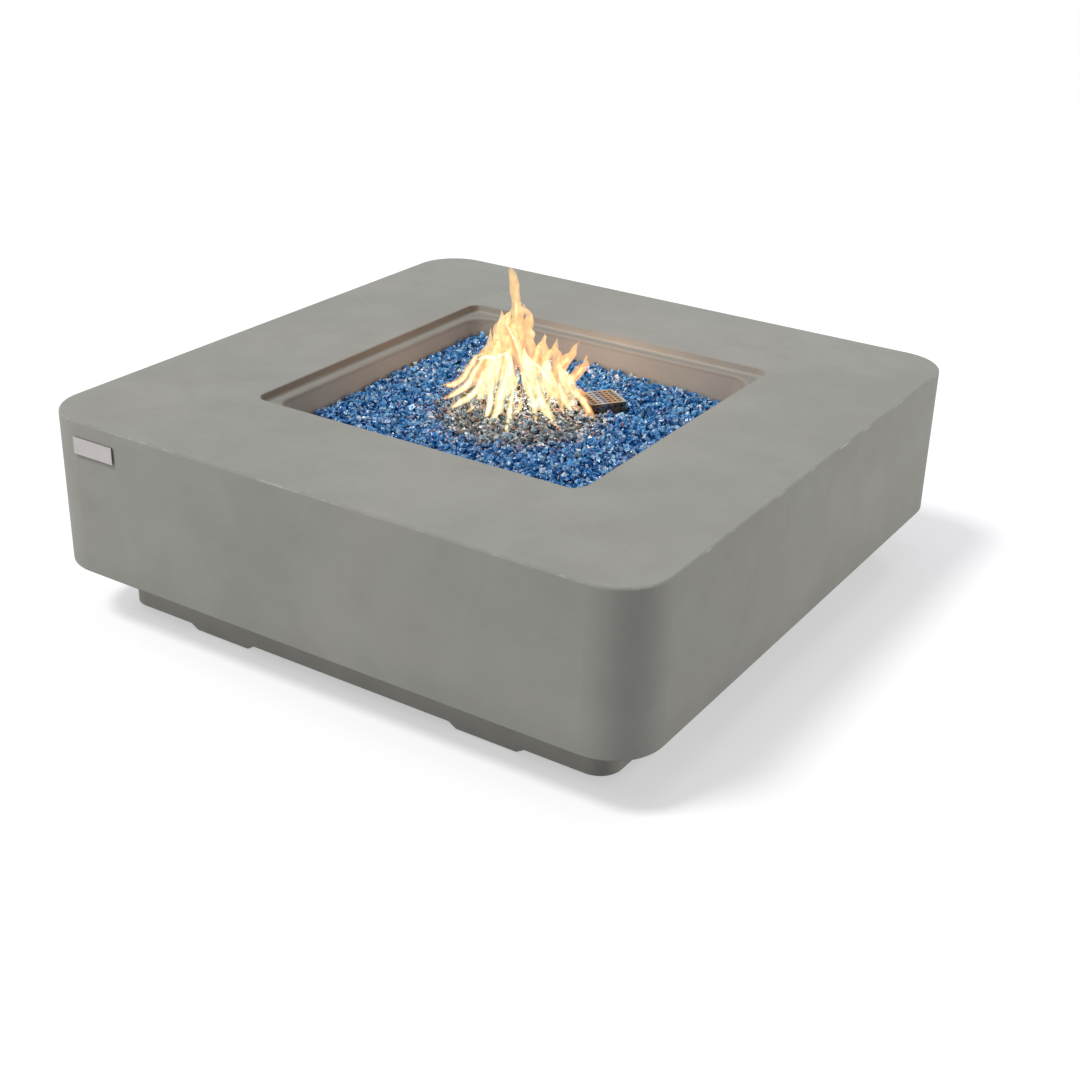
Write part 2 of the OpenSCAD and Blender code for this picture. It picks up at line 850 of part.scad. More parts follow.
module air_mixer() {
    seat = floor_z - stub_length;
    color([0.78, 0.63, 0.32]) difference() {
        translate([0, 0, mixer_bottom]) cylinder(r = mixer_radius, h = mixer_length);
        translate([0, 0, mixer_bottom - overrun])
            cylinder(r = jet_thread + fit_gap, h = mixer_plate + 2 * overrun);
        translate([0, 0, mixer_bottom + mixer_plate])
            cylinder(r = stub_radius - stub_wall + chamfer, h = seat - mixer_bottom - mixer_plate + overrun);
        translate([0, 0, seat - rest_gap])
            cylinder(r = stub_radius + fit_gap, h = mixer_top - seat + overrun);
        for (turn = [0, 90]) translate([0, 0, mixer_bottom + mixer_plate + 2 * air_hole])
            rotate([90, 0, turn]) cylinder(r = air_hole, h = 2 * mixer_radius + overrun, center = true);
    }
}

module gas_jet() {
    low = mixer_bottom - jet_hex_height;
    nose = mixer_plate + chamfer;
    color([0.83, 0.68, 0.35]) difference() {
        union() {
            translate([0, 0, low]) hexagon(jet_hex, jet_hex_height);
            translate([0, 0, mixer_bottom]) cylinder(r = jet_thread, h = nose);
            translate([0, 0, low - socket_depth + rest_gap])
                cylinder(r = jet_thread, h = socket_depth - rest_gap);
        }
        translate([0, 0, low - socket_depth])
            cylinder(r = jet_thread / 2, h = socket_depth + jet_hex_height + mixer_plate);
        translate([0, 0, mixer_bottom]) cylinder(r = jet_hole, h = nose + overrun);
    }
}

module jet_elbow() {
    passage = jet_thread / 2;
    color([0.78, 0.63, 0.32]) translate([0, 0, elbow_z]) difference() {
        union() {
            cube(2 * elbow_half, center = true);
            rotate([-90, 0, 0]) cylinder(r = boss_radius, h = elbow_front);
        }
        cylinder(r = passage, h = elbow_half);
        translate([0, 0, elbow_half - socket_depth])
            cylinder(r = jet_thread + fit_gap, h = socket_depth + overrun);
        rotate([-90, 0, 0]) cylinder(r = passage, h = elbow_front);
        translate([0, elbow_front - socket_depth, 0]) rotate([-90, 0, 0])
            cylinder(r = pipe_radius + fit_gap, h = socket_depth + overrun);
    }
}

module burner_pipe() {
    valve_y = box_floor_y + port_level;
    start_x = knob_x - valve_radius - boss_length + socket_depth - rest_gap;
    lead_in = pipe_bend + pipe_straight;
    climb = control_z - elbow_z;
    across = norm([pipe_side_x, climb]);
    color([0.80, 0.81, 0.83]) {
        pipe_run([
            [start_x, valve_y, control_z],
            [pipe_side_x, valve_y, control_z],
            [pipe_side_x, pipe_cross_y + lead_in, control_z]
        ], pipe_radius, pipe_bore, pipe_bend);
        translate([0, pipe_cross_y, elbow_z]) rotate([0, atan2(climb, -pipe_side_x), 0]) pipe_run([
            [-across, lead_in, 0],
            [-across, 0, 0],
            [0, 0, 0],
            [0, -lead_in, 0]
        ], pipe_radius, pipe_bore, pipe_bend);
        pipe_run([
            [0, pipe_cross_y - lead_in, elbow_z],
            [0, elbow_front - socket_depth + rest_gap, elbow_z]
        ], pipe_radius, pipe_bore, pipe_bend);
    }
}

module sensor_bracket() {
    leg = sensor_height - sensor_plate;
    color([0.70, 0.70, 0.70]) translate([0, 0, pan_top]) at_guard(sensor_distance) {
        translate([0, 0, leg]) linear_extrude(sensor_plate) difference() {
            square([sensor_width, sensor_length], center = true);
            translate([0, sensor_spread]) circle(insulator_radius + slip_gap);
            translate([0, -sensor_spread]) circle(couple_radius + slip_gap);
        }
        for (s = [-1, 1]) translate([0, s * (sensor_length - sensor_plate) / 2, sensor_height / 2])
            cube([sensor_width, sensor_plate, sensor_height], center = true);
    }
}

module spark_insulator() {
    color([0.93, 0.92, 0.88]) at_guard(sensor_distance, sensor_spread) difference() {
        union() {
            translate([0, 0, pan_top - insulator_down])
                cylinder(r = insulator_radius, h = insulator_down + insulator_up);
            translate([0, 0, pan_top + sensor_height]) cylinder(r = insulator_collar, h = 2 * sensor_plate);
        }
        translate([0, 0, pan_top - insulator_down - overrun])
            cylinder(r = electrode_radius + slip_gap, h = insulator_down + insulator_up + 2 * overrun);
    }
}

module spark_electrode() {
    tip = [-electrode_reach, 0, pan_top + electrode_up];
    color([0.75, 0.75, 0.76]) at_guard(sensor_distance, sensor_spread)
        pipe_run([[0, 0, electrode_foot()], [0, 0, tip.z], tip], electrode_radius, 0, 2 * electrode_radius);
}
function electrode_foot() = pan_top - insulator_down - 2 * terminal_length;

module thermocouple() {
    color([0.72, 0.62, 0.48]) at_guard(sensor_distance, -sensor_spread) {
        translate([0, 0, pan_top - couple_down]) cylinder(r = couple_radius, h = couple_down + couple_up);
        translate([0, 0, pan_top + sensor_height]) hexagon(insulator_collar, 2 * sensor_plate);
    }
}

module guard_slots() {
    pitch_x = (guard_length - 2 * guard_round) / slot_columns;
    pitch_y = (guard_width - 2 * guard_round) / slot_rows;
    for (i = [0:slot_columns - 1], k = [0:slot_rows - 1])
        translate([pitch_x * (i + 0.5 - slot_columns / 2), pitch_y * (k + 0.5 - slot_rows / 2)])
            rounded(slot_length / 2, slot_width / 2, min(slot_length, slot_width) / 2 - fit_gap);
}

module igniter_guard() {
    side_pitch = (guard_length - 2 * guard_round) / 5;
    top_row = guard_height - guard_round - side_hole;
    color([0.45, 0.38, 0.28]) translate([0, 0, pan_top]) at_guard(guard_distance) {
        translate([0, 0, guard_height - guard_sheet]) linear_extrude(guard_sheet) difference() {
            rounded(guard_length / 2, guard_width / 2, guard_round);
            guard_slots();
        }
        difference() {
            linear_extrude(guard_height - guard_sheet) difference() {
                rounded(guard_length / 2, guard_width / 2, guard_round);
                rounded(guard_length / 2 - guard_sheet, guard_width / 2 - guard_sheet,
                    guard_round - guard_sheet);
            }
            for (row = [0:1], i = [-2:2], turn = [0, 90])
                translate([0, 0, top_row - row * 3 * side_hole]) rotate([90, 0, turn])
                    translate([i * side_pitch, 0, 0])
                        cylinder(r = side_hole, h = 2 * guard_length, center = true);
        }
        for (s = [-1, 1]) translate([0, s * (guard_width + guard_tab) / 2, 0]) linear_extrude(guard_sheet)
            difference() {
                square([guard_tab, guard_tab + guard_sheet], center = true);
                circle(valve_screw + slip_gap);
            }
    }
}

module guard_screws() {
    color([0.70, 0.71, 0.73]) at_guard_screws() translate([0, 0, pan_top + guard_sheet])
        socket_screw(valve_screw, small_shank - pan_sheet, valve_screw_head, valve_screw_rise);
}

// Height of the glass over the table's plane, with the chips' roughness left out
function glass_level(x, y) =
    let (u = (x + floor_half) / (2 * floor_half), v = (y + floor_half) / (2 * floor_half),
        front = lerp(glass_front_left, glass_front_right, u),
        back = lerp(glass_back_left, glass_back_right, u),
        away = min(norm([x, y]) / floor_half, 1))
    pan_top + lerp(front, back, v) + glass_mound * (1 + cos(180 * away)) / 2;

// A block whose top is broken into chips, wider than the well on every side
module chip_block() {
    cells = round(2 * ledge_half / glass_chip);
    reach = ledge_half + glass_chip;
    step = 2 * reach / cells;
    count = (cells + 1) * (cells + 1);
    heights = rands(-1, 1, count, chip_seeds[0]);
    shifts_x = rands(-chip_shift_share, chip_shift_share, count, chip_seeds[1]);
    shifts_y = rands(-chip_shift_share, chip_shift_share, count, chip_seeds[2]);
    function rim(i, k) = i == 0 || k == 0 || i == cells || k == cells;
    function place(i, k) =
        let (n = i * (cells + 1) + k, loose = rim(i, k) ? 0 : step,
            x = i * step - reach + loose * shifts_x[n],
            y = k * step - reach + loose * shifts_y[n])
        [x, y, glass_level(x, y) + glass_rough * heights[n]];
    surface = [for (i = [0:cells], k = [0:cells]) place(i, k)];
    ring = concat([for (i = [0:cells - 1]) [i, 0]], [for (k = [0:cells - 1]) [cells, k]],
        [for (i = [cells:-1:1]) [i, cells]], [for (k = [cells:-1:1]) [0, k]]);
    floor_ring = [for (p = ring) [p.x * step - reach, p.y * step - reach, pan_top]];
    around = len(ring);
    base = len(surface);
    function above(n) = ring[n % around].x * (cells + 1) + ring[n % around].y;
    top_faces = [for (i = [0:cells - 1], k = [0:cells - 1])
        let (a = i * (cells + 1) + k, b = a + cells + 1)
        each (i + k) % 2 == 0 ? [[a, a + 1, b + 1], [a, b + 1, b]] : [[a, a + 1, b], [b, a + 1, b + 1]]];
    side_faces = [for (n = [0:around - 1])
        let (low = base + n, next = base + (n + 1) % around)
        each [[above(n), above(n + 1), low], [low, above(n + 1), next]]];
    floor_faces = [for (n = [0:around - 1]) [base + n, base + (n + 1) % around, base + around]];
    polyhedron(concat(surface, floor_ring, [[0, 0, pan_top]]), concat(top_faces, side_faces, floor_faces),
        convexity = 10);
}

// The space inside the well's sloping walls that the glass may fill
module well_space() {
    thin = overrun;
    hull() for (z = [pan_top - thin, ledge_z]) translate([0, 0, z]) linear_extrude(thin)
        rounded(well_half(z) - hole_gap, well_half(z) - hole_gap, well_round(z), $fn = 32);
}

module fire_glass() {
    room = 2 * hole_gap;
    channel = ring_top + room - pan_top;
    color([0.13, 0.38, 0.68]) difference() {
        intersection() {
            chip_block();
            well_space();
        }
        translate([0, 0, pan_top - overrun]) {
            rotate_extrude() translate([ring_radius - ring_tube - room, 0])
                square([2 * (ring_tube + room), channel + overrun]);
            cylinder(r = hub_radius + room, h = hub_height + room + overrun);
            for (turn = [0, 90]) rotate([0, 0, guard_bearing + 45 + turn])
                translate([-ring_radius, -spoke_radius - room, 0])
                    cube([2 * ring_radius, 2 * (spoke_radius + room), channel + overrun]);
            at_guard(guard_distance) {
                linear_extrude(2 * well_depth)
                    rounded(guard_length / 2 + room, guard_width / 2 + room, guard_round);
                linear_extrude(guard_sheet + valve_screw_rise + room + overrun)
                    square([guard_tab + 2 * room, guard_width + 2 * (guard_tab + room)], center = true);
            }
        }
        at_pan_screws() hull() {
            translate([0, 0, pan_top - overrun]) cylinder(r = small_head + room, h = overrun, $fn = 16);
            translate([0, 0, pan_top]) cylinder(r = small_head, h = small_rise + room, $fn = 16);
        }
    }
}

module box_inserts() {
    color([0.78, 0.63, 0.32]) at_box_screws() translate([0, 0, box_depth - box_insert_length])
        tube(small_insert, small_screw + fit_gap, box_insert_length);
}

module at_valve_screws() {
    for (s = [-1, 1]) on_box(knob_x + s * bonnet_screw) children();
}

module control_box() {
    outer_x = box_width / 2;
    outer_z = box_height / 2;
    color([0.74, 0.75, 0.77]) difference() {
        union() {
            on_box(0) translate([0, 0, -box_sheet]) linear_extrude(box_depth + box_sheet)
                rounded(outer_x, outer_z, box_corner);
            on_box(0) translate([0, 0, box_depth]) linear_extrude(box_sheet)
                rounded(outer_x + box_lip, outer_z + box_lip, box_corner);
        }
        on_box(0) linear_extrude(box_depth + box_sheet + overrun)
            rounded(outer_x - box_sheet, outer_z - box_sheet, box_corner - box_sheet);
        on_box(knob_x) translate([0, 0, -box_sheet - overrun])
            cylinder(r = stem_hole, h = box_sheet + 2 * overrun);
        on_box(igniter_x) translate([0, 0, -box_sheet - overrun])
            cylinder(r = barrel_radius + slip_gap, h = box_sheet + 2 * overrun);
        at_valve_screws() translate([0, 0, -box_sheet - overrun])
            cylinder(r = valve_screw + slip_gap, h = box_sheet + 2 * overrun);
        at_box_screws() translate([0, 0, box_depth - overrun])
            cylinder(r = small_screw + hole_gap / 2, h = box_sheet + 2 * overrun);
    }
}

module box_screws() {
    color([0.70, 0.71, 0.73]) at_box_screws() translate([0, 0, box_depth + box_sheet])
        socket_screw(small_screw, box_insert_length, small_head, small_rise);
}

module knob_bezel() {
    color([0.10, 0.10, 0.11]) on_box(knob_x) linear_extrude(bezel_sheet) difference() {
        circle(bezel_radius);
        circle(stem_hole);
        for (s = [-1, 1]) translate([s * bonnet_screw, 0]) circle(valve_screw + slip_gap);
    }
}

module valve_screws() {
    color([0.70, 0.71, 0.73]) at_valve_screws() translate([0, 0, bezel_sheet])
        socket_screw(valve_screw, bezel_sheet + box_sheet + bonnet_plate - chamfer / 2, valve_screw_head,
            valve_screw_rise);
}

module valve_bonnet() {
    color([0.78, 0.63, 0.32]) on_box(knob_x) difference() {
        union() {
            translate([0, 0, -box_sheet - bonnet_plate]) linear_extrude(bonnet_plate)
                rounded(bonnet_half_length, bonnet_half_width, box_corner);
            translate([0, 0, valve_front]) cylinder(r = bonnet_radius, h = -box_sheet - valve_front);
            translate([0, 0, chamber_front]) cylinder(r = bonnet_thread, h = valve_front - chamber_front);
        }
        translate([0, 0, chamber_front - overrun])
            cylinder(r = stem_radius + slip_gap, h = 2 * overrun - chamber_front);
        for (s = [-1, 1]) translate([s * bonnet_screw, 0, -box_sheet - bonnet_plate])
            cylinder(r = valve_screw + fit_gap, h = bonnet_plate + overrun);
    }
}

module valve_body() {
    color([0.80, 0.66, 0.36]) on_box(knob_x) difference() {
        union() {
            translate([0, 0, valve_back]) cylinder(r = valve_radius, h = valve_front - valve_back);
            translate([0, 0, valve_back - magnet_length])
                cylinder(r = magnet_radius, h = magnet_length + overrun);
            translate([-valve_radius - boss_length, 0, port_level]) rotate([0, 90, 0])
                cylinder(r = boss_radius, h = boss_length + valve_radius - plug_radius);
            translate([0, valve_radius + boss_length, port_level]) rotate([90, 0, 0])
                cylinder(r = boss_radius, h = boss_length + valve_radius - plug_radius);
        }
        translate([0, 0, plug_back])
            cylinder(r = plug_radius + fit_gap, h = valve_front - plug_back + overrun);
        translate([0, 0, chamber_front])
            cylinder(r = bonnet_thread + fit_gap, h = valve_front - chamber_front + overrun);
        translate([-valve_radius - boss_length - overrun, 0, port_level]) rotate([0, 90, 0]) {
            cylinder(r = pipe_radius + fit_gap, h = socket_depth + overrun);
            cylinder(r = valve_passage, h = valve_radius + boss_length + overrun);
        }
        translate([0, valve_radius + boss_length + overrun, port_level]) rotate([90, 0, 0]) {
            cylinder(r = pipe_radius + fit_gap, h = socket_depth + overrun);
            cylinder(r = valve_passage, h = valve_radius + boss_length + overrun);
        }
    }
}

module valve_plug() {
    color([0.86, 0.74, 0.45]) on_box(knob_x) difference() {
        translate([0, 0, plug_back + slip_gap])
            cylinder(r = plug_radius, h = plug_front - plug_back - slip_gap);
        translate([0, 0, plug_front - plug_socket])
            cylinder(r = stem_radius + slip_gap, h = plug_socket + overrun);
        translate([0, 0, port_level]) rotate([0, 90, 0])
            cylinder(r = plug_port, h = 2 * plug_radius + overrun, center = true);
    }
}

module stem_spring() {
    color([0.80, 0.80, 0.82]) on_box(knob_x)
        spring((stem_radius + plug_radius) / 2, stem_wire, plug_front + slip_gap,
            chamber_front - rest_gap - collar_thickness - slip_gap, stem_turns);
}

// The flat side of the stem, cut away above its start
module stem_flat(radius, front) {
    translate([-2 * radius, flat_share * radius, flat_start])
        cube([4 * radius, 2 * radius, front - flat_start]);
}

module valve_stem() {
    color([0.75, 0.76, 0.78]) on_box(knob_x) {
        difference() {
            translate([0, 0, stem_back]) cylinder(r = stem_radius, h = stem_front - stem_back);
            stem_flat(stem_radius, stem_front + overrun);
        }
        translate([0, 0, chamber_front - rest_gap - collar_thickness])
            cylinder(r = collar_radius, h = collar_thickness);
    }
}

// The grip's outline, with flutes all round but for the place of the pointer
module grip_outline() {
    difference() {
        circle(grip_radius);
        for (i = [1:flute_count - 1]) rotate(360 * i / flute_count - 90)
            translate([grip_radius + flute_radius / 2, 0]) circle(flute_radius);
    }
}

module control_knob() {
    front = knob_back + knob_depth;
    bore = stem_radius + fit_gap / 2;
    color([0.10, 0.10, 0.11]) on_box(knob_x) difference() {
        union() {
            translate([0, 0, knob_back]) cylinder(r = knob_radius, h = knob_skirt);
            translate([0, 0, knob_back + knob_skirt - chamfer])
                linear_extrude(knob_depth - knob_skirt) grip_outline();
            translate([0, 0, front - 2 * chamfer])
                cylinder(r = grip_radius - flute_radius - chamfer, h = 2 * chamfer);
        }
        translate([-pointer_width / 2, -knob_radius, front - 2 * chamfer])
            cube([pointer_width, knob_radius, 3 * chamfer]);
        difference() {
            translate([0, 0, knob_back - overrun])
                cylinder(r = bore, h = stem_front + slip_gap - knob_back + overrun);
            stem_flat(bore, front);
        }
    }
}

module igniter_barrel() {
    color([0.13, 0.13, 0.14]) on_box(igniter_x) difference() {
        union() {
            translate([0, 0, barrel_back]) cylinder(r = barrel_radius, h = barrel_front - barrel_back);
            translate([0, 0, -box_sheet - shoulder_thickness])
                cylinder(r = shoulder_radius, h = shoulder_thickness);
            translate([0, 0, barrel_back - terminal_length])
                cylinder(r = terminal_radius, h = terminal_length + overrun);
        }
        translate([0, 0, barrel_back + barrel_plate])
            cylinder(r = barrel_bore, h = barrel_front - barrel_back);
    }
}

module igniter_nut() {
    color([0.16, 0.16, 0.17]) on_box(igniter_x) difference() {
        hexagon(nut_radius, nut_height);
        translate([0, 0, -overrun]) cylinder(r = barrel_radius + fit_gap, h = nut_height + 2 * overrun);
    }
}

module igniter_battery() {
    color([0.30, 0.32, 0.34]) on_box(igniter_x) {
        translate([0, 0, battery_back]) cylinder(r = battery_radius, h = battery_front - battery_back);
        translate([0, 0, battery_front]) cylinder(r = battery_nub_radius, h = battery_nub);
    }
}

module battery_spring() {
    color([0.80, 0.80, 0.82]) on_box(igniter_x)
        spring(sleeve_inner - 2 * contact_wire, contact_wire, battery_front + battery_nub + rest_gap,
            cap_back - cap_lip - slip_gap, contact_turns);
}

module igniter_cap() {
    color([0.72, 0.73, 0.75]) on_box(igniter_x) {
        translate([0, 0, cap_back])
            tube(cap_radius, barrel_radius + slip_gap, cap_front - cap_plate - cap_back);
        translate([0, 0, cap_back - cap_lip])
            tube(sleeve_outer, sleeve_inner, cap_front - cap_plate - cap_back + cap_lip);
        translate([0, 0, cap_back - cap_lip]) tube(sleeve_outer, lip_hole, cap_lip);
        translate([0, 0, cap_front - cap_plate]) tube(cap_radius, button_radius + slip_gap, cap_plate);
    }
}

module button_spring() {
    color([0.80, 0.80, 0.82]) on_box(igniter_x)
        spring((button_stem + sleeve_inner) / 2, return_wire, cap_back + slip_gap,
            button_flange_back() - slip_gap, return_turns);
}
function button_flange_back() = cap_front - cap_plate - slip_gap - button_flange_thickness;

module igniter_button() {
    color([0.75, 0.12, 0.10]) on_box(igniter_x) {
        translate([0, 0, button_stem_back])
            cylinder(r = button_stem, h = button_flange_back() - button_stem_back);
        translate([0, 0, button_flange_back()]) cylinder(r = button_flange, h = button_flange_thickness);
        translate([0, 0, button_flange_back()])
            cylinder(r = button_radius, h = button_front - chamfer - button_flange_back());
        translate([0, 0, button_front - chamfer])
            cylinder(r1 = button_radius, r2 = button_radius - chamfer, h = chamfer);
    }
}

// Where a sensor's middle stands, seen from above
function sensor_foot(spread) =
    polar(norm([sensor_distance, spread]), guard_bearing + atan2(spread, sensor_distance));

// A lead from under a sensor to the back of its control
function lead_route(start, finish, level) = smooth(concat(
    [start, start - [0, 0, lead_drop / 2], start - [0, 0, lead_drop]],
    [for (share = lead_shares)
        [lerp(start.x, finish.x, share), lerp(start.y, finish.y - lead_back, share), level]],
    [finish - [0, lead_back, 0], finish - [0, lead_back / 2, 0], finish]), lead_steps);

module igniter_lead() {
    foot = sensor_foot(sensor_spread);
    start = [foot.x, foot.y, electrode_foot()];
    finish = [igniter_x, box_floor_y + barrel_back - terminal_length, control_z];
    color([0.70, 0.20, 0.15])
        path_tube(lead_route(start, finish, control_z + lead_low), lead_radius, lead_sides, [1, 0, 0]);
}

module thermocouple_lead() {
    foot = sensor_foot(-sensor_spread);
    start = [foot.x, foot.y, pan_top - couple_down];
    finish = [knob_x, box_floor_y + valve_back - magnet_length, control_z];
    color([0.72, 0.45, 0.30])
        path_tube(lead_route(start, finish, control_z + capillary_high), capillary_radius, lead_sides,
            [1, 0, 0]);
}

module inlet_pipe() {
    valve_y = box_floor_y + port_level;
    start_y = bracket_y - bracket_sheet - inlet_tail + socket_depth - rest_gap;
    color([0.80, 0.81, 0.83]) pipe_run([
        [knob_x, start_y, inlet_height],
        [knob_x, pipe_rise_y, inlet_height],
        [knob_x, pipe_rise_y, pipe_cross_z],
        [knob_x, valve_y, pipe_cross_z],
        [knob_x, valve_y, control_z - valve_radius - boss_length + socket_depth - rest_gap]
    ], pipe_radius, pipe_bore, pipe_bend);
}

// Puts a piece on the hose fitting's axis, with z running out of the table from the bracket's face
module on_inlet() {
    translate([knob_x, bracket_y, inlet_height]) rotate([-90, 0, 0]) children();
}

module inlet_bracket() {
    low = inlet_height - bracket_drop;
    shelf = bolt_line + bracket_sheet + small_head - bracket_y;
    color([0.68, 0.69, 0.71]) difference() {
        union() {
            translate([knob_x - bracket_half, bracket_y - bracket_sheet, low])
                cube([2 * bracket_half, bracket_sheet, base_under - low]);
            translate([knob_x - bracket_half, bracket_y - bracket_sheet, base_under - bracket_sheet])
                cube([2 * bracket_half, shelf, bracket_sheet]);
        }
        on_inlet() translate([0, 0, -bracket_sheet - overrun])
            cylinder(r = inlet_thread + slip_gap, h = bracket_sheet + 2 * overrun);
        at_inlet_screws() translate([0, 0, -bracket_sheet - overrun])
            cylinder(r = small_screw + hole_gap / 2, h = bracket_sheet + 2 * overrun);
    }
}

module inlet_fitting() {
    tail = bracket_sheet + inlet_tail;
    front = inlet_hex_length + flare_length;
    color([0.82, 0.67, 0.34]) on_inlet() difference() {
        union() {
            hexagon(inlet_hex, inlet_hex_length);
            translate([0, 0, inlet_hex_length]) cylinder(r = flare_radius, h = flare_length);
            translate([0, 0, front])
                cylinder(r1 = flare_radius, r2 = flare_radius - flare_nose, h = flare_nose);
            translate([0, 0, -tail]) cylinder(r = inlet_thread, h = tail);
        }
        translate([0, 0, -tail - overrun]) {
            cylinder(r = pipe_radius + fit_gap, h = socket_depth + overrun);
            cylinder(r = pipe_bore - fit_gap, h = tail + front + flare_nose + 2 * overrun);
        }
    }
}

module inlet_locknut() {
    color([0.78, 0.63, 0.32]) on_inlet() translate([0, 0, -bracket_sheet - inlet_nut_height]) difference() {
        hexagon(inlet_hex, inlet_nut_height);
        translate([0, 0, -overrun]) cylinder(r = inlet_thread + fit_gap, h = inlet_nut_height + 2 * overrun);
    }
}

module inlet_screws() {
    color([0.70, 0.71, 0.73]) at_inlet_screws() translate([0, 0, -bracket_sheet]) rotate([180, 0, 0])
        socket_screw(small_screw, bracket_screw_length, small_head, small_rise);
}

concrete_body();
base_casting();
foot_pads();
body_inserts();
base_washers();
base_bolts();
name_plate_pad();
name_plate();
pan_inserts();
burner_pan();
pan_screws();
burner_ring();
burner_saddles();
hub_locknut();
air_mixer();
gas_jet();
jet_elbow();
burner_pipe();
sensor_bracket();
spark_insulator();
spark_electrode();
thermocouple();
igniter_guard();
guard_screws();
fire_glass();
box_inserts();
control_box();
box_screws();
knob_bezel();
valve_screws();
valve_bonnet();
valve_body();
valve_plug();
stem_spring();
valve_stem();
control_knob();
igniter_barrel();
igniter_nut();
igniter_battery();
battery_spring();
igniter_cap();
button_spring();
igniter_button();
igniter_lead();
thermocouple_lead();
inlet_pipe();
inlet_bracket();
inlet_fitting();
inlet_locknut();
inlet_screws();
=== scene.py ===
"""The looks of a square concrete fire pit table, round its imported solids. Lengths are in metres."""
import math
import random

import bmesh
import bpy
from mathutils import Euler, Matrix, Vector, noise


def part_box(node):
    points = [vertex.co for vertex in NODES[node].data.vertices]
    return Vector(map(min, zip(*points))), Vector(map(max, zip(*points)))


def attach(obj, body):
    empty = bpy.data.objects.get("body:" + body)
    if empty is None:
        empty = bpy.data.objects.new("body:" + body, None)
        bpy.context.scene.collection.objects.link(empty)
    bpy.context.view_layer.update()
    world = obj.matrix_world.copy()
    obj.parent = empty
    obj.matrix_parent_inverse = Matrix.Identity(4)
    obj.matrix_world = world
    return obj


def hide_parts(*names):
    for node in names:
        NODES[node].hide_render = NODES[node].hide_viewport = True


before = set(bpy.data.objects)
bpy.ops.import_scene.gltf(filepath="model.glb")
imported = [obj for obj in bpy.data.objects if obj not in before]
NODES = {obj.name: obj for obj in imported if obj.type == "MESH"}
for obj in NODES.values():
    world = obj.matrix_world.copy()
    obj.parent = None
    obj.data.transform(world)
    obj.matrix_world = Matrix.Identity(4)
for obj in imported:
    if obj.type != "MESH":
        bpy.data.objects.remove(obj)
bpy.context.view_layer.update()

# The camera, as the photograph was taken, and the width of its picture in pixels
CAMERA_PLACE = Vector((1.37366, -2.09797, 1.28952))
CAMERA_TURN = 32.317
CAMERA_DOWN = 25.941
CAMERA_ROLL = 1.613
CAMERA_LENS = 54.852
SENSOR = 36.0
PICTURE = 1080

# Studio light: the sky as a light, the floor as a light and as it is seen, and the sun
WHITE = (1.0, 1.0, 1.0, 1.0)
BLACK = (0.0, 0.0, 0.0, 1.0)
SKY_LEVEL = 0.36
SKY_LIT = (0.95, 0.97, 1.0, 1.0)
FLOOR_TONES = ((0.37, 0.37, 0.37, 1.0), (0.41, 0.41, 0.41, 1.0))
FLOOR_SEEN = (0.66, 0.66, 0.685, 1.0)
FLOOR_LIFT = 0.48
FLOOR_SIZE = 30
SUN_WAY = (-0.25, -0.40, 0.88)
SUN_ENERGY = 1.60
SUN_ANGLE = 14
SUN_COLOUR = (1.0, 0.985, 0.96)
# The softboxes: name, place, what they point at, width, height and strength
SOFTBOXES = [("left_box", (-1.6, -2.2, 2.4), (0.0, 0.0, 0.3), 0.5, 0.5, 8),
             ("back_box", (0.8, 2.4, 2.2), (0.0, 0.0, 0.3), 0.5, 0.5, 7),
             ("low_left_box", (-3.2, -3.4, 0.17), (-0.1, -0.5, 0.17), 2.4, 0.26, 42),
             ("low_right_box", (2.8, 1.6, 0.17), (0.5, 0.1, 0.17), 1.6, 0.26, 32),
             ("low_side_box", (-3.0, 0.9, 0.17), (-0.5, 0.2, 0.17), 1.6, 0.26, 26)]
LOW_COLOUR = (1.0, 0.97, 0.945)
# The fire's own light: name, height and strength
GLOWS = [("low_glow", 0.335, 0.95), ("high_glow", 0.42, 0.95)]
GLOW_COLOUR = (1.0, 0.70, 0.52)
GLOW_PLACE = (0.01, 0.05)
GLOW_SIZE = 0.05

# The table
TOP = 0.350
HALF = 0.535
CORNER = 0.082
OPENING_HALF = 0.300
OPENING_CORNER = 0.022
LEDGE = 0.336
LEDGE_HALF = 0.282
WELL_CORNER = 0.040
WELL_SLOPE = math.tan(math.radians(9))

# The bed of fire glass
PAN_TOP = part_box("burner_pan")[1].z
FLOOR_HALF = 0.2694
BED_DEPTHS = {"front_left": 0.039, "front_right": 0.039, "back_left": 0.052, "back_right": 0.033}
BED_MOUND = 0.003
CHIP_SHAPES = 14
CHIP_CORNERS = 9
CHIP_SIZES = (0.0046, 0.0084)
# The ranges of a chip's length, width and thickness, as shares of its size
CHIP_SHARES = ((0.95, 1.15), (0.60, 0.95), (0.50, 0.78))
# Each layer of chips: the step from chip to chip, the height over the bed's surface, and its unevenness
CHIP_LAYERS = ((0.0082, -0.0034, 0.0027), (0.0100, -0.0092, 0.0023))
CHIP_JITTER = 0.42
CHIP_WALL_ROOM = 1.05
CHIP_GUARD_ROOM = 0.95
BED_BELOW = 0.011
BED_STEPS = 40
BED_CORNER = 0.020
BED_WALL_GAP = 0.003
BED_PAN_GAP = 0.0003
BED_SMOOTH = 40

# The igniter guard, which the chips keep clear of
GUARD_BEARING = math.radians(54.5)
GUARD_DISTANCE = 0.147
GUARD_LENGTH = 0.062
GUARD_WIDTH = 0.060
GUARD_SHEET = 0.0010
GUARD_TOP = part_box("igniter_guard")[1].z
GUARD_NOISE = (55.0, 4.0, 0.6, 0.8)
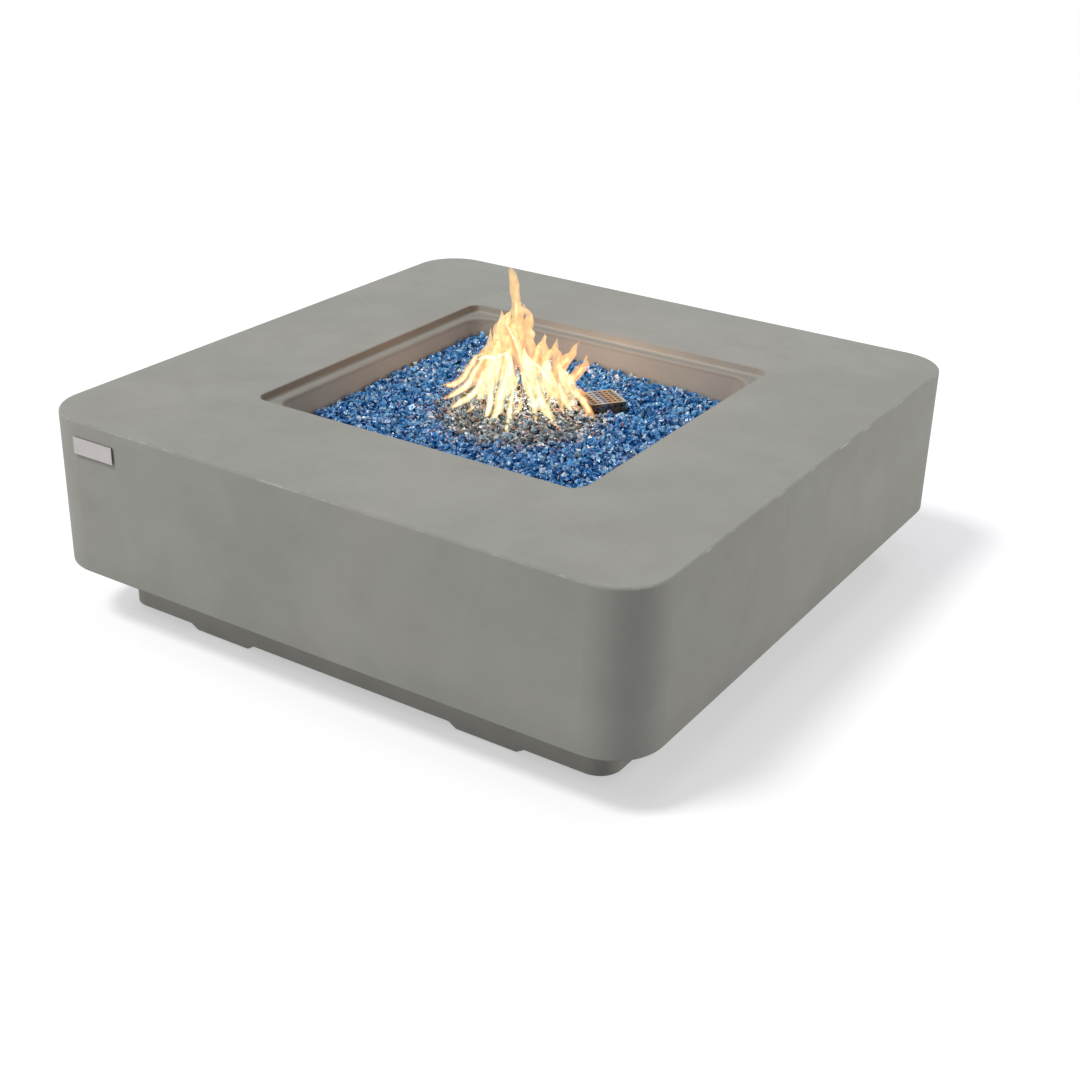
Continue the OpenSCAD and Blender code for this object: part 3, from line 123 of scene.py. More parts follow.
# The bands of heat tint across the guard, partly painted reflections of the fire, the width of its rim of
# painted highlight, and where the black painted shade of its inside begins
GUARD_TINTS_AND_REFLECTIONS = ((0.0, (100, 70, 50)), (0.16, (172, 118, 70)), (0.32, (206, 200, 190)),
               (0.46, (142, 138, 156)), (0.58, (176, 128, 84)), (0.74, (192, 152, 108)),
               (0.88, (150, 134, 112)), (1.0, (190, 180, 160)))
GUARD_HIGHLIGHT_RIM = (0.0016, 0.0004)
GUARD_INSIDE_SHADE = (-0.00085, -0.0004)

# The controls
KNOB_X = -0.038
CONTROL_Z = 0.183
BEZEL_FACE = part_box("knob_bezel")[1].y
KNOB_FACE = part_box("control_knob")[1].y
KNOB_RADIUS = 0.021
KNOB_WORN = (0.0135, 0.0172)
POINTER_WIDTH = 0.0016
POINTER_DEPTH = 0.0040
# The dial's words, each with its bearing from straight down, and their distance from the middle and size
DIAL_WORDS = [("OFF", 0), ("HI", 122), ("LO", 180)]
DIAL_WORD_REACH = 0.0268
DIAL_WORD_SIZE = 0.0048
DIAL_WORD_DEPTH = 0.00006
# The dial's wedge: its first and last bearing, half its width at either, and its radius
DIAL_SPREAD = (96.0, 168.0)
DIAL_WEDGE = (0.00075, 0.00012)
DIAL_RADIUS = KNOB_RADIUS + 0.0016
DIAL_WHITE = (232, 232, 228)


# Helpers
def paint(red, green, blue):
    """A colour given in the photograph's own values, as the shaders want it."""
    shares = [value / 255 for value in (red, green, blue)]
    return tuple(s / 12.92 if s <= 0.04045 else ((s + 0.055) / 1.055) ** 2.4 for s in shares) + (1.0,)


def put(socket, value):
    """Joins an output to a socket, or sets the socket's own value."""
    if isinstance(value, bpy.types.NodeSocket):
        socket.id_data.links.new(value, socket)
    elif value is not None:
        socket.default_value = value


def add(tree, kind, sockets=(), **settings):
    """A shader node with its settings, and its sockets by name or number."""
    made = tree.nodes.new("ShaderNode" + kind)
    for name, value in settings.items():
        setattr(made, name, value)
    for key, value in dict(sockets).items():
        put(made.inputs[key], value)
    return made


def join(kind, sockets, **settings):
    """A shader node that others feed, in the tree of the first output that feeds it."""
    feeds = [value for value in sockets.values() if isinstance(value, bpy.types.NodeSocket)]
    return add(feeds[0].id_data, kind, sockets, **settings)


def maths(operation, *values, clamp=False):
    return join("Math", dict(enumerate(values)), operation=operation, use_clamp=clamp).outputs[0]


def times(*values):
    """The product of values."""
    product = values[0]
    for value in values[1:]:
        product = maths("MULTIPLY", product, value)
    return product


def plus(first, second, clamp=False):
    return maths("ADD", first, second, clamp=clamp)


def minus(first, second, clamp=False):
    return maths("SUBTRACT", first, second, clamp=clamp)


def swing(value, amount, middle=0.5):
    """How far a value is from its middle, scaled."""
    return times(minus(value, middle), amount)


def mix(factor, first, second, mode="MIX"):
    return join("Mix", {0: factor, 6: first, 7: second}, data_type="RGBA", blend_type=mode).outputs[2]


def cover(colour, over, mask, strength):
    """A colour with another laid over it, as far as a mask and a strength let it."""
    return mix(times(mask, strength), colour, over)


def spread(value, low, high, start=0.0, end=1.0):
    """A smooth step of a value between two levels."""
    return join("MapRange", {0: value, 1: low, 2: high, 3: start, 4: end},
                interpolation_type="SMOOTHSTEP").outputs[0]


def parts_of(vector):
    """The x, y and z of a vector."""
    return join("SeparateXYZ", {0: vector}).outputs


def channels_of(colour):
    return join("SeparateColor", {0: colour}).outputs


def stretched(vector, scale):
    return join("VectorMath", {0: vector, 1: scale}, operation="MULTIPLY").outputs[0]


def length_of(vector):
    return join("VectorMath", {0: vector}, operation="LENGTH").outputs["Value"]


def facing_up(place):
    """How far the surface faces up, from 1 to -1."""
    return parts_of(add(place.id_data, "NewGeometry").outputs["Normal"])[2]


def noise_of(place, scale, detail=3.0, roughness=0.5, distortion=0.0):
    return join("TexNoise", {"Vector": place, "Scale": scale, "Detail": detail, "Roughness": roughness,
                             "Distortion": distortion}).outputs[0]


def cells_of(place, scale):
    """The distance to the middle of a pattern's cell, and the cell's chance colour."""
    made = join("TexVoronoi", {"Vector": place, "Scale": scale}, feature="F1")
    return made.outputs["Distance"], made.outputs["Color"]


def spots_of(place, scale, channel, level, fade):
    """Round spots in those cells of a pattern whose chance is over a level."""
    near, chance = cells_of(place, scale)
    picked = maths("GREATER_THAN", channels_of(chance)[channel], level)
    return times(spread(near, *fade), picked)


def ramp_of(value, bands):
    """A colour for a value, from bands of a position and the photograph's own colour."""
    made = join("ValToRGB", {0: value})
    stops = made.color_ramp.elements
    for stop, (position, colour) in ((stops[0], bands[0]), (stops[1], bands[-1])):
        stop.position = position
        stop.color = paint(*colour)
    for position, colour in bands[1:-1]:
        stops.new(position).color = paint(*colour)
    return made.outputs[0]


# The kinds of the groups' sockets, where they aren't plain numbers
SOCKET_KINDS = {"Vector": "Vector", "Stretch": "Vector", "Color": "Color", "Light": "Color",
                "Dark": "Color"}


def group(name, takes, gives):
    """A shader node group, with its inputs and outputs by name."""
    tree = bpy.data.node_groups.new(name, "ShaderNodeTree")
    for way, labels in (("INPUT", takes), ("OUTPUT", gives)):
        for label in labels.split():
            kind = "NodeSocket" + SOCKET_KINDS.get(label, "Float")
            tree.interface.new_socket(label, in_out=way, socket_type=kind)
    return tree, tree.nodes.new("NodeGroupInput").outputs, tree.nodes.new("NodeGroupOutput").inputs


def placed(made_group, sockets):
    """The outputs of a node group placed in a material."""
    return join("Group", sockets, node_tree=made_group).outputs


def material(name, **sockets):
    """A material with its shader's plain sockets set by name, and the place on the object."""
    made = bpy.data.materials.new(name)
    made.use_nodes = True
    tree = made.node_tree
    for label, value in sockets.items():
        tree.nodes["Principled BSDF"].inputs[label.replace("_", " ")].default_value = value
    return made, add(tree, "TexCoord").outputs["Object"]


def finished(made, colour, roughness, height, distance, strength, metallic=None):
    """A material that has been given its colour, its roughness and the relief of a height."""
    sockets = made.node_tree.nodes["Principled BSDF"].inputs
    bump = join("Bump", {"Height": height, "Distance": distance, "Strength": strength})
    put(sockets["Base Color"], colour)
    put(sockets["Metallic"], metallic)
    put(sockets["Roughness"], roughness)
    put(sockets["Normal"], bump.outputs[0])
    return made


def bare_material(name):
    """A material with no shader yet, and the place on the object."""
    made = bpy.data.materials.new(name)
    made.use_nodes = True
    tree = made.node_tree
    tree.nodes.clear()
    return made, add(tree, "TexCoord").outputs["Object"]


def new_object(name, data):
    """An object in the scene."""
    made = bpy.data.objects.new(name, data)
    bpy.context.scene.collection.objects.link(made)
    return made


def dress(nodes, made):
    """Gives CAD nodes a material."""
    for name in nodes.split():
        mesh = NODES[name].data
        mesh.materials.clear()
        mesh.materials.append(made)


def mesh_of(bm, name):
    """A mesh from a bmesh, which it uses up."""
    mesh = bpy.data.meshes.new(name)
    bm.to_mesh(mesh)
    bm.free()
    return mesh


def bmesh_of_curve(curve):
    """The surface that a curve or a word makes."""
    source = new_object("curve_source", curve)
    bpy.context.view_layer.update()
    mesh = bpy.data.meshes.new_from_object(source)
    bpy.data.objects.remove(source)
    bpy.data.curves.remove(curve)
    bm = bmesh.new()
    bm.from_mesh(mesh)
    bpy.data.meshes.remove(mesh)
    return bm


def finish_piece(name, bm, made, body, smooth=None, stands_for=()):
    """Makes a piece of a bmesh, with its material and the body that it rides on."""
    bmesh.ops.recalc_face_normals(bm, faces=bm.faces)
    mesh = mesh_of(bm, name)
    mesh.materials.append(made)
    piece = new_object(name, mesh)
    if smooth is not None:
        mesh.shade_smooth()
        mesh.set_sharp_from_angle(angle=math.radians(smooth))
    if body:
        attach(piece, body)
    if stands_for:
        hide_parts(*stands_for)
    return piece


# Camera and stage
def camera_axes():
    turn, down = math.radians(CAMERA_TURN), math.radians(CAMERA_DOWN)
    forward = Vector((-math.sin(turn) * math.cos(down), math.cos(turn) * math.cos(down), -math.sin(down)))
    level = forward.to_track_quat("-Z", "Y").to_matrix()
    return level @ Matrix.Rotation(math.radians(CAMERA_ROLL), 3, "Z")


def make_camera():
    lens = bpy.data.cameras.new("camera")
    lens.lens = CAMERA_LENS
    lens.sensor_width = SENSOR
    lens.clip_end = 100
    camera = new_object("camera", lens)
    camera.matrix_world = Matrix.Translation(CAMERA_PLACE) @ camera_axes().to_4x4()
    bpy.context.scene.camera = camera


def sight(x, y):
    """The direction from the camera through a pixel of the picture."""
    focal = CAMERA_LENS / SENSOR * PICTURE
    return camera_axes() @ Vector(((x - PICTURE / 2) / focal, (PICTURE / 2 - y) / focal, -1.0))


def make_world():
    """A white sky, dimmer as a light than as the camera and the mirrors see it."""
    world = bpy.data.worlds.new("studio")
    bpy.context.scene.world = world
    world.use_nodes = True
    tree = world.node_tree
    tree.nodes.clear()
    rays = add(tree, "LightPath").outputs
    shown = maths("MAXIMUM", rays["Is Camera Ray"], rays["Is Glossy Ray"])
    shown = maths("MAXIMUM", shown, rays["Is Transmission Ray"])
    level = plus(SKY_LEVEL, times(shown, 1.0 - SKY_LEVEL))
    sky = join("Background", {"Color": mix(shown, SKY_LIT, WHITE), "Strength": level})
    join("OutputWorld", {"Surface": sky.outputs[0]})


def make_floor():
    """A grey floor, which the camera alone sees as white."""
    bm = bmesh.new()
    bmesh.ops.create_grid(bm, x_segments=1, y_segments=1, size=FLOOR_SIZE)
    made, place = bare_material("pale_floor")
    tree = place.id_data
    tone = spread(noise_of(place, 0.8, 2.0), 0.3, 0.7)
    plain = join("BsdfDiffuse", {"Color": mix(tone, *FLOOR_TONES)})
    seen = add(tree, "BsdfDiffuse", {"Color": FLOOR_SEEN})
    lift = add(tree, "Emission", {"Color": WHITE, "Strength": FLOOR_LIFT})
    white = join("AddShader", {0: seen.outputs[0], 1: lift.outputs[0]})
    ray = add(tree, "LightPath").outputs["Is Camera Ray"]
    both = join("MixShader", {0: ray, 1: plain.outputs[0], 2: white.outputs[0]})
    join("OutputMaterial", {"Surface": both.outputs[0]})
    floor = finish_piece("floor", bm, made, None)


def place_lamp(light, place, way):
    """Hangs a light that the camera doesn't see, shining against a direction."""
    lamp = new_object(light.name, light)
    lamp.location = place
    lamp.rotation_euler = Vector(way).to_track_quat("Z", "Y").to_euler()
    lamp.visible_camera = False
    return lamp


def make_lights():
    sun = bpy.data.lights.new("high_light", "SUN")
    sun.energy = SUN_ENERGY
    sun.angle = math.radians(SUN_ANGLE)
    sun.color = SUN_COLOUR
    place_lamp(sun, (0.0, 0.0, 2.0), SUN_WAY)
    for name, place, target, width, height, energy in SOFTBOXES:
        panel = bpy.data.lights.new(name, "AREA")
        panel.shape = "RECTANGLE"
        panel.size = width
        panel.size_y = height
        panel.energy = energy
        if name.startswith("low"):
            panel.color = LOW_COLOUR
        place_lamp(panel, place, Vector(place) - Vector(target))
    for name, height, energy in GLOWS:
        glow = bpy.data.lights.new(name, "POINT")
        glow.color = GLOW_COLOUR
        glow.energy = energy
        glow.shadow_soft_size = GLOW_SIZE
        lamp = place_lamp(glow, (*GLOW_PLACE, height), (0.0, 0.0, 1.0))
        lamp.visible_glossy = lamp.visible_transmission = False


# Shared effects. A pattern of noise has its scale, detail, roughness and distortion
CLOUD_NOISE = (2.6, 5.0, 0.62, 0.5)
BLOTCH_NOISE = (11.0, 4.0, 0.6, 0.3)
GRAIN_NOISE = (420.0, 2.0, 0.7)
PORE_NOISE = (90.0, 3.0, 0.65)
WARM_NOISE = (3.4, 3.0, 0.55, 0.8)
BRUSH_NOISE = (900.0, 3.0, 0.7)
SMEAR_NOISE = (24.0, 3.0, 0.6, 0.6)
DUST_NOISE = (60.0, 4.0, 0.65)
# Pinholes and specks in the concrete: the scale of their cells, the channel and level of chance that picks
# those that have one, and the distances that it fades between
PINHOLES = (62.0, 0, 0.80, (0.10, 0.045))
SPECKS = (95.0, 1, 0.90, (0.12, 0.06))
# The pinholes' dark colour is painted shade in their pits
PINHOLE_SHADE_COLOUR = (0.10, 0.10, 0.095, 1.0)
SPECK_COLOUR = (0.62, 0.62, 0.60, 1.0)
DUST_COLOUR = (0.42, 0.40, 0.37, 1.0)


def make_concrete_group():
    """Cast concrete: clouds of tone, fine grain, pinholes darkened with painted shade, and pale specks."""
    tree, take, give = group("cast_concrete", "Vector Light Dark Clouds Holes Specks",
                             "Color Roughness Height")
    place = take["Vector"]
    broad, middle = noise_of(place, *CLOUD_NOISE), noise_of(place, *BLOTCH_NOISE)
    grain, fine = noise_of(place, *GRAIN_NOISE), noise_of(place, *PORE_NOISE)
    clouds = plus(times(broad, 0.62), times(middle, 0.38))
    clouds = plus(0.5, swing(spread(clouds, 0.34, 0.66), take["Clouds"]))
    tone = plus(clouds, swing(grain, 0.16), clamp=True)
    colour = mix(tone, take["Dark"], take["Light"])
    warm = spread(noise_of(place, *WARM_NOISE), 0.42, 0.66)
    colour = cover(colour, mix(1.0, colour, paint(255, 244, 238), "MULTIPLY"), warm, 0.16)
    hole = times(spots_of(place, *PINHOLES), take["Holes"])
    # Painted shade in the pinholes
    colour = cover(colour, PINHOLE_SHADE_COLOUR, hole, 0.55)
    speck = times(spots_of(place, *SPECKS), take["Specks"])
    put(give["Color"], cover(colour, SPECK_COLOUR, speck, 0.6))
    put(give["Roughness"], plus(0.52, times(fine, 0.24)))
    height = plus(times(grain, 0.22), times(fine, 0.55))
    put(give["Height"], minus(height, times(hole, 1.6)))
    return tree


def make_outline_group():
    """How far a place is inside a square with round corners, seen from above."""
    tree, take, give = group("distance_to_outline", "Vector Half Corner", "Distance")
    parts = parts_of(take["Vector"])
    straight = minus(take["Half"], take["Corner"])
    over = [minus(maths("ABSOLUTE", part), straight) for part in parts[:2]]
    past = {number: maths("MAXIMUM", part, 0.0) for number, part in enumerate(over)}
    reach = length_of(join("CombineXYZ", past).outputs[0])
    inner = maths("MINIMUM", maths("MAXIMUM", *over), 0.0)
    put(give["Distance"], minus(take["Corner"], plus(reach, inner)))
    return tree


def make_brushed_group():
    """Metal brushed one way: fine lines in its tone, gloss and height."""
    tree, take, give = group("brushed_metal", "Vector Stretch Color Roughness", "Color Roughness Height")
    lines = noise_of(stretched(take["Vector"], take["Stretch"]), *BRUSH_NOISE)
    smears = noise_of(take["Vector"], *SMEAR_NOISE)
    tone = plus(plus(0.94, swing(lines, 0.5)), swing(smears, 0.16))
    shade = join("CombineColor", {0: tone, 1: tone, 2: tone}).outputs[0]
    put(give["Color"], mix(1.0, take["Color"], shade, "MULTIPLY"))
    rough = plus(take["Roughness"], swing(smears, 0.22, 0.4))
    put(give["Roughness"], plus(rough, times(lines, 0.08)))
    put(give["Height"], lines)
    return tree


def make_dust_group():
    """A light dust that settles on surfaces that face up."""
    tree, take, give = group("settled_dust", "Vector Color Amount", "Color")
    patches = spread(noise_of(take["Vector"], *DUST_NOISE), 0.35, 0.7)
    mask = times(spread(facing_up(take["Vector"]), 0.2, 0.9), patches, take["Amount"])
    put(give["Color"], mix(mask, take["Color"], DUST_COLOUR))
    return tree


GROUPS = {}


def make_groups():
    GROUPS.update(concrete=make_concrete_group(), outline=make_outline_group(),
                  brushed=make_brushed_group(), dust=make_dust_group())


# Materials
# Marks on the body's concrete, most of them painted light and shade: the distances or heights that each
# fades in between, strength and colour
MARKS = {
    # Painted shade on the outer arrises
    "arris": ((0.0041, 0.0029), 0.50, (132, 132, 126)),
    # A patchy painted highlight along the outer arrises
    "outer_edge_highlight": ((0.0031, 0.0025), 0.45, (200, 200, 194)),
    # Painted shade on the opening's edge
    "bend": ((0.0030, 0.0021), 0.45, (132, 130, 122)),
    "low": ((0.150, 0.098), 0.10, (120, 120, 114)),
    # Smoke stains and painted shade inside the well
    "smoke_and_shade": ((-0.004, 0.010), 0.30, (128, 118, 112)),
    # Painted shade on the left riser
    "riser_shade": ((-0.287, -0.293), 0.75, (112, 100, 90)),
}
EDGE_HIGHLIGHT_NOISE = (24.0, 4.0, 0.7)
# The riser between the table's top and the ledge: where the painted shade on the left riser fades out at
# either end
RISER_TOP = (TOP - 0.0002, TOP - 0.0025)
RISER_FOOT = (LEDGE + 0.0003, LEDGE + 0.0030)
RISER_EDGE = (-0.002, 0.0)
SMOKE_AND_SHADE_DEPTH = (TOP, LEDGE - 0.010)


def marked(colour, name, value, *masks):
    """The concrete's colour with one of its marks, where a value is within the mark's band."""
    band, strength, tint = MARKS[name]
    return cover(colour, paint(*tint), times(spread(value, *band), *masks), strength)


def marked_concrete(place, colour):
    """The body's concrete: painted shade and patches of painted highlight on its outer edges, a darker
    foot, painted shade round the opening's edge, soot stains and painted shade inside the well, and
    painted shade on the step under the top's left edge.
    """
    parts = parts_of(place)
    height = parts[2]
    outer, inner = [placed(GROUPS["outline"], {"Vector": place, "Half": half, "Corner": corner})[0]
                    for half, corner in ((HALF, CORNER), (OPENING_HALF, OPENING_CORNER))]
    below = minus(TOP, height)
    from_arris, from_opening = plus(outer, below), minus(below, inner)
    # Painted shade over the outer arrises
    colour = marked(colour, "arris", from_arris)
    # Patches of the painted highlight along the arrises
    worn = spread(noise_of(place, *EDGE_HIGHLIGHT_NOISE), 0.46, 0.70)
    colour = marked(colour, "outer_edge_highlight", from_arris, worn)
    # Painted shade along the opening's edge
    colour = marked(colour, "bend", from_opening)
    colour = marked(colour, "low", height)
    # Smoke stains and painted shade inside the well
    colour = marked(colour, "smoke_and_shade", inner, spread(height, *SMOKE_AND_SHADE_DEPTH))
    # Painted shade on the left riser only
    riser_shade = times(spread(height, *RISER_TOP), spread(height, *RISER_FOOT))
    return marked(colour, "riser_shade", parts[0], riser_shade, spread(inner, *RISER_EDGE))


def concrete_material(name, light, dark, clouds, holes, specks, arrises=False):
    made, place = material(name, Specular_IOR_Level=0.35)
    cast = placed(GROUPS["concrete"], {"Vector": place, "Light": light, "Dark": dark, "Clouds": clouds,
                                       "Holes": holes, "Specks": specks})
    colour = marked_concrete(place, cast["Color"]) if arrises else cast["Color"]
    return finished(made, colour, cast["Roughness"], cast["Height"], 0.0005, 0.5)


def dusted(place, colour, dust):
    if not dust:
        return colour
    return placed(GROUPS["dust"], {"Vector": place, "Color": colour, "Amount": dust})["Color"]


def brushed_material(name, colour, stretch, roughness, dust=0.0, relief=0.00004, **sockets):
    made, place = material(name, **{"Metallic": 1.0, **sockets})
    brushed = placed(GROUPS["brushed"], {"Vector": place, "Stretch": stretch, "Color": colour,
                                         "Roughness": roughness})
    tone = dusted(place, brushed["Color"], dust)
    return finished(made, tone, brushed["Roughness"], brushed["Height"], relief, 0.4)


def cast_metal_material(name, colour, worn, roughness):
    """Turned or cast metal with darker, rougher patches scattered by noise."""
    made, place = material(name, Metallic=1.0)
    patches = spread(noise_of(place, 70.0, 5.0, 0.65), 0.35, 0.68)
    rough = plus(roughness, times(minus(1.0, patches), 0.18))
    fine = noise_of(place, 600.0, 2.0)
    return finished(made, mix(patches, worn, colour), rough, fine, 0.00006, 0.4)


# Moulded plastic: its fine grain, and its broad clouds of tone
MOULD_GRAIN = (900.0, 3.0, 0.6)
MOULD_CLOUDS = (45.0, 4.0, 0.6)
KNOB_CLOUDS = (60.0, 4.0, 0.6)


def moulded(place, clouds=MOULD_CLOUDS):
    """The grain and the clouds of a moulded surface."""
    return noise_of(place, *MOULD_GRAIN), spread(noise_of(place, *clouds), 0.3, 0.75)


def plastic_material(name, colour, lighter, roughness, texture=0.00005, dust=0.0):
    """Moulded plastic or rubber with a fine texture."""
    made, place = material(name)
    grain, broad = moulded(place)
    tone = dusted(place, cover(colour, lighter, broad, 0.6), dust)
    rough = plus(roughness, times(broad, 0.15))
    return finished(made, tone, rough, grain, texture, 0.6)


def around_knob(parts):
    """From the knob's axis: the way right, the distance, and the bearing from straight down."""
    right, below = minus(KNOB_X, parts[0]), minus(CONTROL_Z, parts[2])
    reach = length_of(join("CombineXYZ", {0: right, 1: below}).outputs[0])
    return right, reach, maths("DEGREES", maths("ARCTAN2", right, below))


def bezel_material():
    """Black enamel with a printed wedge that narrows from the high flame to the low one."""
    made, place = material("printed_enamel")
    reach, bearing = around_knob(parts_of(place))[1:]
    grain, broad = moulded(place)
    tone = mix(broad, paint(26, 26, 28), paint(38, 38, 40))
    first, last = DIAL_SPREAD
    wide, thin = DIAL_WEDGE
    along = join("MapRange", {0: bearing, 1: first, 2: last, 3: wide, 4: thin}).outputs[0]
    off_line = maths("ABSOLUTE", minus(reach, DIAL_RADIUS))
    wedge = times(maths("LESS_THAN", off_line, along), maths("GREATER_THAN", bearing, first),
                  maths("LESS_THAN", bearing, last))
    tone = cover(tone, paint(*DIAL_WHITE), wedge, 0.9)
    return finished(made, tone, spread(broad, 0.0, 1.0, 0.28, 0.42), grain, 0.00003, 0.5)


def knob_material():
    """Black plastic with a white line in the pointer's groove."""
    made, place = material("knob_plastic")
    parts = parts_of(place)
    right, reach, bearing = around_knob(parts)
    grain, broad = moulded(place, KNOB_CLOUDS)
    tone = mix(broad, paint(34, 34, 36), paint(52, 52, 54))
    worn = spread(reach, *KNOB_WORN)
    tone = cover(tone, paint(78, 78, 80), worn, times(broad, 0.35))
    line = times(maths("LESS_THAN", maths("ABSOLUTE", right), POINTER_WIDTH / 2),
                 maths("GREATER_THAN", parts[1], KNOB_FACE - POINTER_DEPTH),
                 maths("LESS_THAN", maths("ABSOLUTE", bearing), 90.0))
    tone = cover(tone, paint(236, 236, 232), line, 0.92)
    return finished(made, tone, spread(broad, 0.0, 1.0, 0.38, 0.55), grain, 0.00005, 0.6)


def make_dial_words():
    """The dial's words, printed on the bezel."""
    white = plastic_material("dial_print", paint(*DIAL_WHITE), paint(216, 216, 212), 0.45, 0.00001)
    upright = Matrix.Rotation(math.pi, 4, "Z") @ Matrix.Rotation(math.pi / 2, 4, "X")
    for word, bearing in DIAL_WORDS:
        letters = bpy.data.curves.new("dial_" + word.lower(), "FONT")
        letters.body = word
        letters.size = DIAL_WORD_SIZE
        letters.extrude = DIAL_WORD_DEPTH
        letters.resolution_u = 3
        letters.align_x = letters.align_y = "CENTER"
        bm = bmesh_of_curve(letters)
        bmesh.ops.remove_doubles(bm, verts=bm.verts, dist=0.000001)
        angle = math.radians(bearing)
        x = KNOB_X - math.sin(angle) * DIAL_WORD_REACH
        z = CONTROL_Z - math.cos(angle) * DIAL_WORD_REACH
        move = Matrix.Translation((x, BEZEL_FACE, z)) @ upright
        bmesh.ops.transform(bm, matrix=move, verts=bm.verts)
        finish_piece("dial_word_" + word.lower(), bm, white, "table")


def guard_material():
    """Perforated stainless steel in bands of heat tint, partly painted reflections of the fire, with
    painted shade on its sides, a painted highlight round its top's edges, and black painted shade inside.
    """
    made, place = material("heat_tinted_steel", Metallic=1.0)
    parts = parts_of(place)
    cosine, sine = math.cos(GUARD_BEARING), math.sin(GUARD_BEARING)
    along = plus(times(parts[0], cosine), times(parts[1], sine))
    across = minus(times(parts[1], cosine), times(parts[0], sine))
    from_middle = minus(along, GUARD_DISTANCE)
    patches = noise_of(place, *GUARD_NOISE)
    level = plus(maths("DIVIDE", from_middle, GUARD_LENGTH), 0.5)
    # Heat tint bands, partly painted reflections of the fire
    tint = ramp_of(plus(level, swing(patches, 0.45)), GUARD_TINTS_AND_REFLECTIONS)
    side = minus(GUARD_LENGTH / 2 - GUARD_SHEET, maths("ABSOLUTE", from_middle))
    end = minus(GUARD_WIDTH / 2 - GUARD_SHEET, maths("ABSOLUTE", across))
    under = minus(GUARD_TOP - GUARD_SHEET, parts[2])
    to_edge = maths("MINIMUM", side, end)
    # Painted shade: the guard's upright sides are darkened
    upright = spread(facing_up(place), 0.7, 0.3)
    tint = cover(tint, paint(74, 62, 50), upright, 0.60)
    # Painted highlight along the edges of the top
    rim = minus(spread(to_edge, *GUARD_HIGHLIGHT_RIM), upright, clamp=True)
    tint = cover(tint, paint(232, 222, 200), rim, 0.55)
    # The inside is painted black: painted shade, which also darkens the holes
    inside = spread(maths("MINIMUM", to_edge, under), *GUARD_INSIDE_SHADE)
    rough = maths("MAXIMUM", spread(patches, 0.2, 0.8, 0.30, 0.48), times(inside, 0.85))
    tint = mix(inside, tint, paint(22, 19, 17))
    return finished(made, tint, rough, noise_of(place, 500.0, 3.0), 0.00005, 0.4, minus(1.0, inside))


# The colours of the chips by their tone, and the painted light and shade of their facets by chance
CHIP_TINTS = ((0.0, (18, 104, 180)), (0.30, (34, 134, 212)), (0.60, (66, 162, 232)),
              (0.84, (120, 192, 244)), (0.94, (176, 218, 250)), (1.0, (246, 250, 255)))
FACET_LIGHT_TINTS = ((0.0, (124, 142, 152)), (0.25, (200, 206, 210)), (0.6, (244, 244, 244)),
               (1.0, (255, 255, 255)))
# The distances from the middle between which the chips are painted grey-green by the fire's light, and
# between which they show painted glints of the fire
CHIP_FIRE_GREY = (0.185, 0.140)
CHIP_FIRE_GLINTS = (0.215, 0.150)


def chip_material():
    """Tumbled blue glass with painted light and shade on its facets and painted white glints, a few chips
    clear, painted grey-green by the fire's light round the burner, and painted glints of the fire there.
    """
    made, place = material("blue_fire_glass", IOR=1.50, Transmission_Weight=0.12, Specular_IOR_Level=0.60)
    tone = add(place.id_data, "Attribute", attribute_name="tone").outputs["Fac"]
    tint = ramp_of(tone, CHIP_TINTS)
    near, chance = cells_of(place, 340.0)
    chances = channels_of(chance)
    # Painted light and shade: each small cell of a chip is lit brighter or darker
    facet = ramp_of(chances[0], FACET_LIGHT_TINTS)
    away = length_of(stretched(place, (1.0, 1.0, 0.0)))
    edge = plus(away, times(noise_of(place, 30.0, 3.0), 0.06))
    plain = spread(tone, 0.98, 0.5, 0.40, 0.90)
    # Painted light: round the burner the chips are greyed as if lit by the fire
    colour = cover(tint, paint(150, 156, 144), spread(edge, *CHIP_FIRE_GREY), plain)
    colour = mix(1.0, colour, facet, "MULTIPLY")
    # Painted highlights: white glints in a few cells
    colour = cover(colour, paint(226, 238, 250), spread(chances[1], 0.90, 0.94), 0.85)
    # Painted reflections: warm glints of the fire in cells near it
    around = spread(edge, *CHIP_FIRE_GLINTS, 0.006, 0.15)
    lit = maths("GREATER_THAN", chances[2], minus(1.0, around))
    warm = mix(spread(tone, 0.3, 0.7), paint(236, 150, 104), paint(250, 222, 196))
    colour = cover(colour, warm, lit, 0.85)
    return finished(made, colour, spread(chances[2], 0.0, 1.0, 0.04, 0.22), near, 0.0009, 0.35)


def bed_material():
    made, place = material("deep_blue_glass", Specular_IOR_Level=0.6)
    near, chance = cells_of(place, 130.0)
    tone = channels_of(chance)[0]
    colour = mix(tone, paint(12, 44, 96), paint(34, 92, 158))
    # Painted shade: darker towards the edges of the cells, in the cracks between pieces
    colour = mix(spread(near, 0.3, 0.8), colour, paint(8, 26, 60))
    return finished(made, colour, spread(tone, 0.0, 1.0, 0.12, 0.35), near, 0.002, 0.8)


# The fire: its middle and how it is drawn out upward, the distances from there between which it grows hot,
# and the heights between which it fades
FIRE_HEART = (-0.015, -0.01, 0.345)
FIRE_ROUND = (1.0, 1.0, 0.80)
FIRE_DRAWN = (1.0, 1.0, 0.30)
FIRE_HOT = (0.175, 0.080)
FLAME_FADE = 0.435
FLAME_TOP = 0.550
STREAK_NOISE = (130.0, 2.0, 0.5, 0.4)


